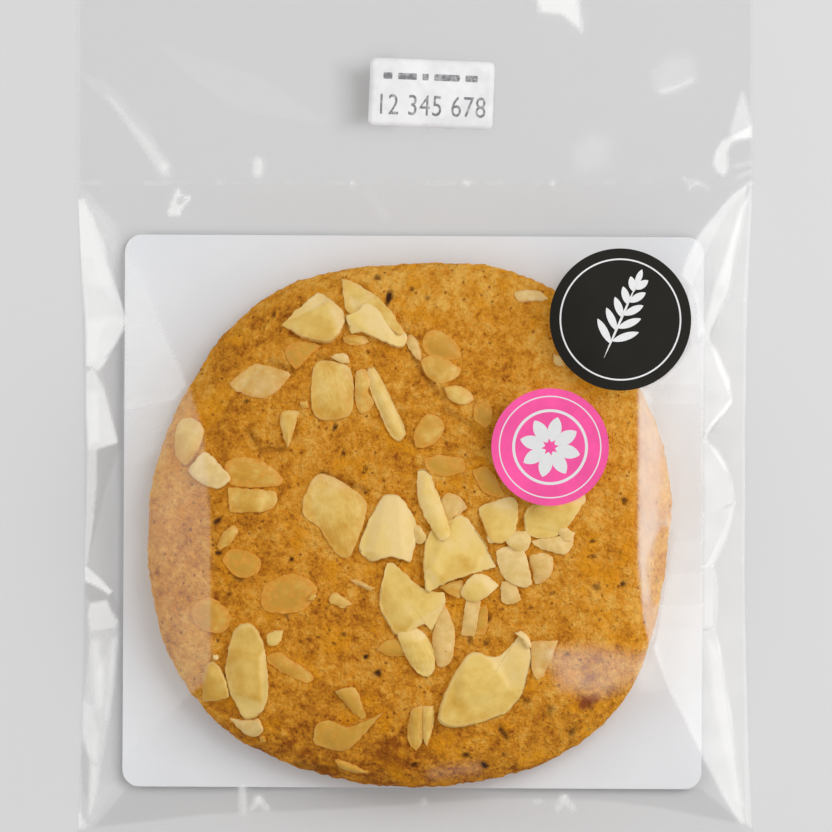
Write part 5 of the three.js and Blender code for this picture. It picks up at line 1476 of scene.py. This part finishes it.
def almond_mesh(almond, dough, seed, around=64, rows=24):
    """One almond piece: a slab or a rounded chip with broken edges, pressed into the dough."""
    bm = bmesh.new()
    layers = [point_layer(bm, name) for name in ("tone", "rim", "along", "across", "grain", "soak")]
    draw = random.Random(seed)
    outline = outline_points(almond.corners, around, seed, 0.12 + 0.13 * (1 - almond.dome))
    middle = sum(outline, Vector((0, 0))) / around
    far = max(outline, key=lambda point: (point - middle).length) - middle
    long_way = far.normalized()
    side = Vector((-long_way.y, long_way.x))
    half = max(abs((point - middle).dot(side)) for point in outline)
    lean = dough.lean(*middle, half)
    rise = dough.top(*middle)
    # Where its face is broken away: which way, from how far out, how steeply, and how its tone shifts.
    breaks = []
    for _ in range(5):
        turn = draw.uniform(0, 2 * math.pi)
        way = Vector((math.cos(turn), math.sin(turn)))
        start = max((point - middle).dot(way) for point in outline) * draw.uniform(0.2, 0.8)
        breaks.append((way, start, draw.uniform(0.25, 0.9), draw.uniform(-0.4, 0.1)))
    thin = 1 - smoothstep(almond.lift, 0.6, 1.0)
    soak = 1 - smoothstep(almond.lift, 0.45, 1.05)
    lean_most = 0.1 - 0.07 * thin
    tilt = Vector((draw.uniform(-lean_most, lean_most), draw.uniform(-lean_most, lean_most)))
    bmesh.ops.create_uvsphere(bm, u_segments=around, v_segments=rows, radius=1)
    for vert in bm.verts:
        turn = math.atan2(vert.co.y, vert.co.x) / (2 * math.pi)
        level = math.acos(clamp(vert.co.z, -1, 1)) / (math.pi / 2)
        share = clamp(level / FACE_LEVEL) if level < 1 else clamp((2 - level) / UNDER_SPAN)
        spot = (outline[round(turn * around) % around] - middle) * (share if level < 1 else share * 1.02)
        across = spot.dot(side)
        swell = 0.4 * share * share + 0.6 * (across / half) ** 2
        height = almond.lift - almond.dome * (almond.lift + 0.5) * min(swell, 1)
        height += spot.dot(tilt) + 0.05 * wave(*(middle + spot), seed, 1.5, seed)
        drop, paler = max(
            (slope * eased(spot.dot(way) - start, 0.7), shift) for way, start, slope, shift in breaks
        )
        drop = min((1 - almond.dome) * drop, 0.65 * almond.lift)
        height -= drop
        height += thin * lumps(*(middle + spot), rise)
        if level > FACE_LEVEL:
            height -= 0.16 * smoothstep(level, FACE_LEVEL, 1.0) + 1.4 * smoothstep(level, 0.98, 1.3)
        vert.co = lean @ Vector((*spot, height)) + Vector((*middle, rise))
        if level < FACE_HELD:
            floor = dough.top(vert.co.x, vert.co.y) + lumps(*vert.co.xy, rise)
            vert.co.z = max(vert.co.z, floor + 0.1 + 0.25 * almond.lift)
        # Painted light and shade: darker gold on the side away from the light, at the near left, and paler
        # toward it.
        away_from_light = spot.dot(Vector((-0.7, -0.7))) / far.length
        tone = almond.tone + 0.22 * wave(*(middle + spot), seed, 5, seed) + 0.25 * away_from_light * share
        tone += paler * smoothstep(drop, 0.0, 0.25) + 0.15 * soak
        along = spot.dot(long_way) + 50 * seed
        for layer, value in zip(layers, (tone, share, along, across, almond.grain, soak)):
            vert[layer] = value
    bmesh.ops.translate(bm, vec=(*dough.middle, 0), verts=bm.verts)
    bmesh.ops.recalc_face_normals(bm, faces=bm.faces)
    return bm


class COOKIE_OT_slices(bpy.types.Operator):
    """Lays the large almond slices on the dough, each as a piece of its own"""

    bl_idname = "cookie.slices"
    bl_label = "Almond slices"

    def execute(self, context):
        sizes, _, _ = settings()
        dough = Dough(sizes)
        material = almond_finish(sizes)
        for number, (node, almond) in enumerate(SLICES.items()):
            low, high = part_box(node)
            bm = almond_mesh(almond, dough, number + 1, around=96, rows=44)
            middle = sum((vert.co for vert in bm.verts), Vector()) / len(bm.verts) * MM
            if not (low.x < middle.x < high.x and low.y < middle.y < high.y):
                raise RuntimeError(f"{node} doesn't lie where the packed model has it")
            finished(node.replace("slice", "sliver"), bm, material, [node])
        return {"FINISHED"}


class COOKIE_OT_flakes(bpy.types.Operator):
    """Presses the smaller almond flakes into the dough"""

    bl_idname = "cookie.flakes"
    bl_label = "Almond flakes"

    def execute(self, context):
        sizes, _, _ = settings()
        dough = Dough(sizes)
        bm = bmesh.new()
        for number, almond in enumerate(FLAKES):
            add_to(bm, almond_mesh(almond, dough, number + 21))
        finished("almond_flakes", bm, almond_finish(sizes), ["cookie"])
        return {"FINISHED"}


class COOKIE_OT_card(bpy.types.Operator):
    """Gives the card under the cookie its finish"""

    bl_idname = "cookie.card"
    bl_label = "Card"

    def execute(self, context):
        _, bag, _ = settings()
        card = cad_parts["card"]
        card.data.materials.clear()
        card.data.materials.append(card_finish(bag))
        return {"FINISHED"}


# A round label's place and radius, how dark the painted shadow at its left is, and its print's turn in
# degrees.
RoundLabel = namedtuple("RoundLabel", "x y radius shade turn")
# The date label's place, size and turn in degrees.
DateLabel = namedtuple("DateLabel", "x y width height turn")
BLACK_LABEL = RoundLabel(36.1, 14.3, 12.5, 1.5, -22)
PINK_LABEL = RoundLabel(23.7, -8.1, 10.3, 3, 8)
DATE_LABEL = DateLabel(2.9, 54.3, 22, 12, -2.3)


def film_form():
    """The film's form, over the dough and under the round labels."""
    sizes, bag, _ = settings()
    return Film(bag, Dough(sizes), (BLACK_LABEL, PINK_LABEL))


class COOKIE_OT_film(bpy.types.Operator):
    """Makes the clear bag: two films joined along their sides, sealed across and welded at the bottom"""

    bl_idname = "cookie.film"
    bl_label = "Bag"

    # How many columns lie between the left side fold, its crumpled fold line, the crown's two sides, the
    # right fold line and the right side fold.
    COLUMNS = (16, 38, 120, 42, 18)
    ROWS = 400
    # The flat lower film's columns, and how high it lies.
    LOWER_COLUMNS = 6
    LOWER_HEIGHT = 0.06

    def across(self, film, share, y):
        """The place across the bag of a column, so that columns run along the fold lines."""
        edge = film.edge(y)
        left, right = film.sides(y)
        stops = (-edge, left, film.CROWN_LEFT, film.CROWN_RIGHT, right, edge)
        column = share * sum(self.COLUMNS)
        for count, start, end in zip(self.COLUMNS, stops, stops[1:]):
            if column <= count + 1e-6:
                return start + (end - start) * column / count
            column -= count
        return edge

    def execute(self, context):
        _, bag, _ = settings()
        film = film_form()
        bm = bmesh.new()
        cloud, shade = point_layer(bm, "cloud"), point_layer(bm, "shade")
        columns = sum(self.COLUMNS)
        upper = bmesh.ops.create_grid(bm, x_segments=columns, y_segments=self.ROWS, size=0.5)["verts"]
        columns = self.LOWER_COLUMNS
        lower = bmesh.ops.create_grid(bm, x_segments=columns, y_segments=self.ROWS, size=0.5)["verts"]
        bmesh.ops.reverse_faces(bm, faces=list({face for vert in lower for face in vert.link_faces}))
        for vert in upper:
            y = 2 * vert.co.y * film.half_length
            x = self.across(film, vert.co.x + 0.5, y)
            at_fold = abs(abs(vert.co.x) - 0.5) < 1e-4
            vert.co = (x, y, film.EDGE_HEIGHT if at_fold else film.height(x, y))
            vert[cloud], vert[shade] = (0, 0) if at_fold else film.finish(x, y)
        for vert in lower:
            y = 2 * vert.co.y * film.half_length
            at_fold = abs(vert.co.x) * 2 > 0.999
            height = film.EDGE_HEIGHT if at_fold else self.LOWER_HEIGHT
            vert.co = (2 * vert.co.x * film.edge(y), y, height)
        bmesh.ops.remove_doubles(bm, verts=bm.verts, dist=0.01)
        for edge in bm.edges:
            if all(abs(abs(vert.co.x) - film.edge(vert.co.y)) < 0.01 for vert in edge.verts):
                edge.smooth = False
        finished("bag_film", bm, film_finish(bag), ["bag"], shadow=False)
        return {"FINISHED"}


def draped(bm, film, lift):
    """Lays a flat mesh on the film."""
    for vert in bm.verts:
        vert.co.z += film.height(vert.co.x, vert.co.y) + lift


class COOKIE_OT_labels(bpy.types.Operator):
    """Sticks the three paper labels on the film"""

    bl_idname = "cookie.labels"
    bl_label = "Labels"

    # Each kind's thickness, and how far its underside lies above the film. The date label's corners are
    # drawn in a little.
    ROUND_THICK = 0.12
    ROUND_LIFT = 0.06
    DATE_THICK = 0.1
    DATE_LIFT = 0.08
    CORNER = 0.21

    def execute(self, context):
        _, bag, _ = settings()
        film = film_form()
        black = label_finish("black_label", bag.black, 0.42)
        pink = label_finish("pink_label", bag.pink, 0.4)
        self.round_sticker("black", BLACK_LABEL, film, black)
        self.round_sticker("pink", PINK_LABEL, film, pink)
        bm = bmesh.new()
        bmesh.ops.create_grid(bm, x_segments=22, y_segments=12, size=0.5)
        bmesh.ops.scale(bm, vec=(DATE_LABEL.width, DATE_LABEL.height, 1), verts=bm.verts)
        self.draw_corners_in(bm, DATE_LABEL, self.CORNER)
        self.thicken(bm, self.DATE_THICK)
        place_on_label(bm, DATE_LABEL)
        draped(bm, film, self.DATE_LIFT)
        white = label_finish("white_label", bag.date_paper, 0.45)
        finished("date_sticker", bm, white, ["date_label"], shadow=False)
        return {"FINISHED"}

    def round_sticker(self, colour, label, film, material):
        """Cuts a round label and sticks it on the film."""
        bm = bmesh.new()
        bmesh.ops.create_grid(bm, x_segments=24, y_segments=24, size=1)
        for vert in bm.verts:
            angle, ring = disc_place(*vert.co.xy)
            reach = label.radius * ring
            vert.co = (reach * math.cos(angle), reach * math.sin(angle), 0)
        self.thicken(bm, self.ROUND_THICK)
        bmesh.ops.translate(bm, vec=(label.x, label.y, 0), verts=bm.verts)
        draped(bm, film, self.ROUND_LIFT)
        node = f"round_label_{colour}"
        finished(f"round_sticker_{colour}", bm, material, [node], smooth=False, shadow=False)

    @staticmethod
    def thicken(bm, thick):
        """Gives a flat sheet its thickness, upwards."""
        made = bmesh.ops.extrude_face_region(bm, geom=bm.faces[:])
        top = [item for item in made["geom"] if isinstance(item, bmesh.types.BMVert)]
        bmesh.ops.translate(bm, vec=(0, 0, thick), verts=top)
        bmesh.ops.recalc_face_normals(bm, faces=bm.faces)

    @staticmethod
    def draw_corners_in(bm, label, far):
        """Moves a sheet's four corners inwards."""
        half_x, half_y = label.width / 2, label.height / 2
        for vert in bm.verts:
            if abs(abs(vert.co.x) - half_x) < 1e-3 and abs(abs(vert.co.y) - half_y) < 1e-3:
                vert.co.x -= math.copysign(far, vert.co.x)
                vert.co.y -= math.copysign(far, vert.co.y)


def place_on_label(bm, label):
    """Turns and moves a flat mesh from the origin to where a label lies."""
    turn = Matrix.Rotation(math.radians(label.turn), 3, "Z")
    bmesh.ops.rotate(bm, cent=(0, 0, 0), matrix=turn, verts=bm.verts)
    bmesh.ops.translate(bm, vec=(label.x, label.y, 0), verts=bm.verts)


def add_blade(bm, x, y, long, wide, turn, pointed=True):
    """Adds a flat leaf from its foot at a place, or a bar with blunt ends."""
    made = bmesh.ops.create_circle(bm, cap_ends=True, segments=20, radius=1)["verts"]
    for vert in made:
        along, across, _ = vert.co
        if pointed:
            across *= (1 - abs(along) ** 2.2) ** 0.35
        else:
            across = clamp(3 * across, -1, 1)
        vert.co = ((along + 1) * long / 2, across * wide / 2, 0)
    spin = Matrix.Rotation(math.radians(turn), 3, "Z")
    bmesh.ops.rotate(bm, cent=(0, 0, 0), matrix=spin, verts=made)
    bmesh.ops.translate(bm, vec=(x, y, 0), verts=made)


def add_ring(bm, radius, width, segments=72):
    """Adds a flat ring round the origin."""
    inner = bmesh.ops.create_circle(bm, segments=segments, radius=radius - width / 2)["verts"]
    outer = bmesh.ops.create_circle(bm, segments=segments, radius=radius + width / 2)["verts"]
    rims = {edge for vert in inner + outer for edge in vert.link_edges}
    bmesh.ops.bridge_loops(bm, edges=list(rims))


class COOKIE_OT_prints(bpy.types.Operator):
    """Prints a sprig, a slice of fruit and plain digits on the labels"""

    bl_idname = "cookie.prints"
    bl_label = "Prints"

    # How far the prints lie above the film, and the longest edge that they keep, so that they follow it.
    PRINT_LIFT = 0.2
    LONGEST_EDGE = 0.9
    # The lengths of the blocks above the digits, and the gap between them.
    BLOCKS = (1.6, 3.4, 1.1, 4.6, 2.2)
    BLOCK_GAP = 0.95

    def sprig(self, bm):
        """A leafy sprig with a ring round it."""
        add_ring(bm, 10.6, 0.28, 96)
        add_blade(bm, -0.2, -7.4, 14.6, 0.42, 88)
        for step in range(5):
            foot = -4.6 + 2.5 * step
            size = 5.0 - 0.55 * step
            lean = 50 - 4 * step
            add_blade(bm, 0.1 * step, foot, size, 1.35, 90 + lean)
            add_blade(bm, 0.1 * step, foot + 0.5, size, 1.35, 90 - lean)
        add_blade(bm, 0.25, 6.6, 3, 1.1, 90)

    def fruit(self, bm):
        """A slice of fruit with eight segments."""
        add_ring(bm, 6.4, 0.5)
        add_ring(bm, 8.9, 0.22)
        for step in range(8):
            turn = 45 * step + 22.5
            foot = Vector((0.9, 0)) @ Matrix.Rotation(-math.radians(turn), 2)
            add_blade(bm, foot.x, foot.y, 4.5, 2.4, turn)

    def digits(self, bm):
        """A row of small blocks above a row of stamped digits."""
        start = -8.6
        for long in self.BLOCKS:
            add_blade(bm, start, 2.9, long, 1.15, 0, pointed=False)
            start += long + self.BLOCK_GAP
        curve = bpy.data.curves.new("date_digits", "FONT")
        curve.body = "12 345 678"
        curve.size = 5.2
        curve.align_x = "CENTER"
        curve.space_character = 1.06
        text = bpy.data.objects.new("date_digits", curve)
        bpy.context.scene.collection.objects.link(text)
        bpy.context.view_layer.update()
        mesh = bpy.data.meshes.new_from_object(text)
        bpy.data.objects.remove(text)
        mesh.transform(Matrix.Translation((0, -3.9, 0)) @ Matrix.Diagonal((0.78, 1, 1, 1)))
        bm.from_mesh(mesh)
        bpy.data.meshes.remove(mesh)

    def execute(self, context):
        _, bag, _ = settings()
        film = film_form()
        white = print_finish("white_print", bag.print_white, 0.1)
        stamped = print_finish("stamped_digits", bag.digits, 0.65)
        jobs = (
            ("sprig_print", self.sprig, BLACK_LABEL, white, "black_label"),
            ("fruit_print", self.fruit, PINK_LABEL, white, "pink_label"),
            ("digits_print", self.digits, DATE_LABEL, stamped, "white_label"),
        )
        for name, draw, label, material, slot_name in jobs:
            bm = bmesh.new()
            draw(bm)
            bmesh.ops.triangulate(bm, faces=bm.faces)
            long_edges = [edge for edge in bm.edges if edge.calc_length() > self.LONGEST_EDGE]
            bmesh.ops.subdivide_edges(bm, edges=long_edges, cuts=3)
            for face in bm.faces:
                if face.normal.z < 0:
                    face.normal_flip()
            place_on_label(bm, label)
            draped(bm, film, self.PRINT_LIFT)
            finished(name, bm, material, [], smooth=False, shadow=False)
        return {"FINISHED"}


class COOKIE_OT_stage(bpy.types.Operator):
    """Sets the pale table, the soft lights and the camera that looks straight down"""

    bl_idname = "cookie.stage"
    bl_label = "Stage"

    # The point on the table that the picture's middle shows.
    VIEW_MIDDLE = Vector((0.18, -2.65, 0)) * MM
    SENSOR = 36
    TABLE_HALF = 1.5
    # Each softbox: its name, its direction and height in degrees, then its distance, width and height in
    # metres and its brightness.
    SOFTBOXES = (
        ("key_softbox", 40, 48, 1.2, 0.75, 0.75, 2.9),
        ("right_softbox", -4, 28, 0.9, 1.2, 0.5, 2.3),
        ("left_softbox", 176, 30, 0.9, 1.2, 0.5, 1.65),
    )

    def softbox(self, name, turn, rise, away, width, height, bright):
        """Hangs a rectangular softbox that faces the table's middle."""
        turn, rise = math.radians(turn), math.radians(rise)
        data = bpy.data.lights.new(name, "AREA")
        data.shape = "RECTANGLE"
        data.size, data.size_y = width, height
        data.energy = math.pi * width * height * bright
        lamp = bpy.data.objects.new(name, data)
        flat = math.cos(rise)
        lamp.location = Vector((flat * math.cos(turn), flat * math.sin(turn), math.sin(rise))) * away
        lamp.rotation_euler = lamp.location.to_track_quat("Z", "Y").to_euler()
        bpy.context.scene.collection.objects.link(lamp)

    def execute(self, context):
        _, _, stage = settings()
        bm = bmesh.new()
        bmesh.ops.create_grid(bm, x_segments=8, y_segments=8, size=self.TABLE_HALF)
        mesh = bpy.data.meshes.new("table_top")
        bm.to_mesh(mesh)
        bm.free()
        mesh.materials.append(table_finish(stage))
        table = bpy.data.objects.new("table_top", mesh)
        bpy.context.scene.collection.objects.link(table)
        for softbox in self.SOFTBOXES:
            self.softbox(*softbox)
        world = bpy.data.worlds.new("studio")
        world.use_nodes = True
        background = world.node_tree.nodes["Background"]
        background.inputs["Color"].default_value = (1, 1, 1, 1)
        background.inputs["Strength"].default_value = stage.sky
        context.scene.world = world
        context.scene.view_settings.view_transform = "Standard"
        camera_data = bpy.data.cameras.new("overhead_camera")
        camera_data.sensor_width = self.SENSOR
        camera_data.lens = self.SENSOR * stage.camera_height / stage.view_width
        camera_data.clip_start = 0.05
        camera = bpy.data.objects.new("overhead_camera", camera_data)
        camera.location = self.VIEW_MIDDLE + Vector((0, 0, stage.camera_height))
        context.scene.collection.objects.link(camera)
        context.scene.camera = camera
        return {"FINISHED"}


class COOKIE_PT_panel(bpy.types.Panel):
    """The cookie's sizes and the steps that make it"""

    bl_label = "Almond Orange Cookie"
    bl_space_type = "VIEW_3D"
    bl_region_type = "UI"
    bl_category = "Cookie"

    def draw(self, context):
        scene = context.scene
        for group in (scene.cookie_sizes, scene.bag_sizes, scene.cookie_stage):
            box = self.layout.box()
            for name in group.bl_rna.properties.keys():
                if name not in ("rna_type", "name"):
                    box.prop(group, name)
        for step in STEPS:
            self.layout.operator(step.bl_idname)


STEPS = (
    COOKIE_OT_stage,
    COOKIE_OT_dough,
    COOKIE_OT_slices,
    COOKIE_OT_flakes,
    COOKIE_OT_card,
    COOKIE_OT_film,
    COOKIE_OT_labels,
    COOKIE_OT_prints,
)
CLASSES = (CookieSizes, BagSizes, StageSettings, *STEPS, COOKIE_PT_panel)


def register():
    for made in CLASSES:
        bpy.utils.register_class(made)
    bpy.types.Scene.cookie_sizes = PointerProperty(type=CookieSizes)
    bpy.types.Scene.bag_sizes = PointerProperty(type=BagSizes)
    bpy.types.Scene.cookie_stage = PointerProperty(type=StageSettings)


def unregister():
    del bpy.types.Scene.cookie_stage
    del bpy.types.Scene.bag_sizes
    del bpy.types.Scene.cookie_sizes
    for made in reversed(CLASSES):
        bpy.utils.unregister_class(made)


def main():
    register()
    for step in STEPS:
        family, name = step.bl_idname.split(".")
        getattr(getattr(bpy.ops, family), name)()


if __name__ == "__main__":
    main()
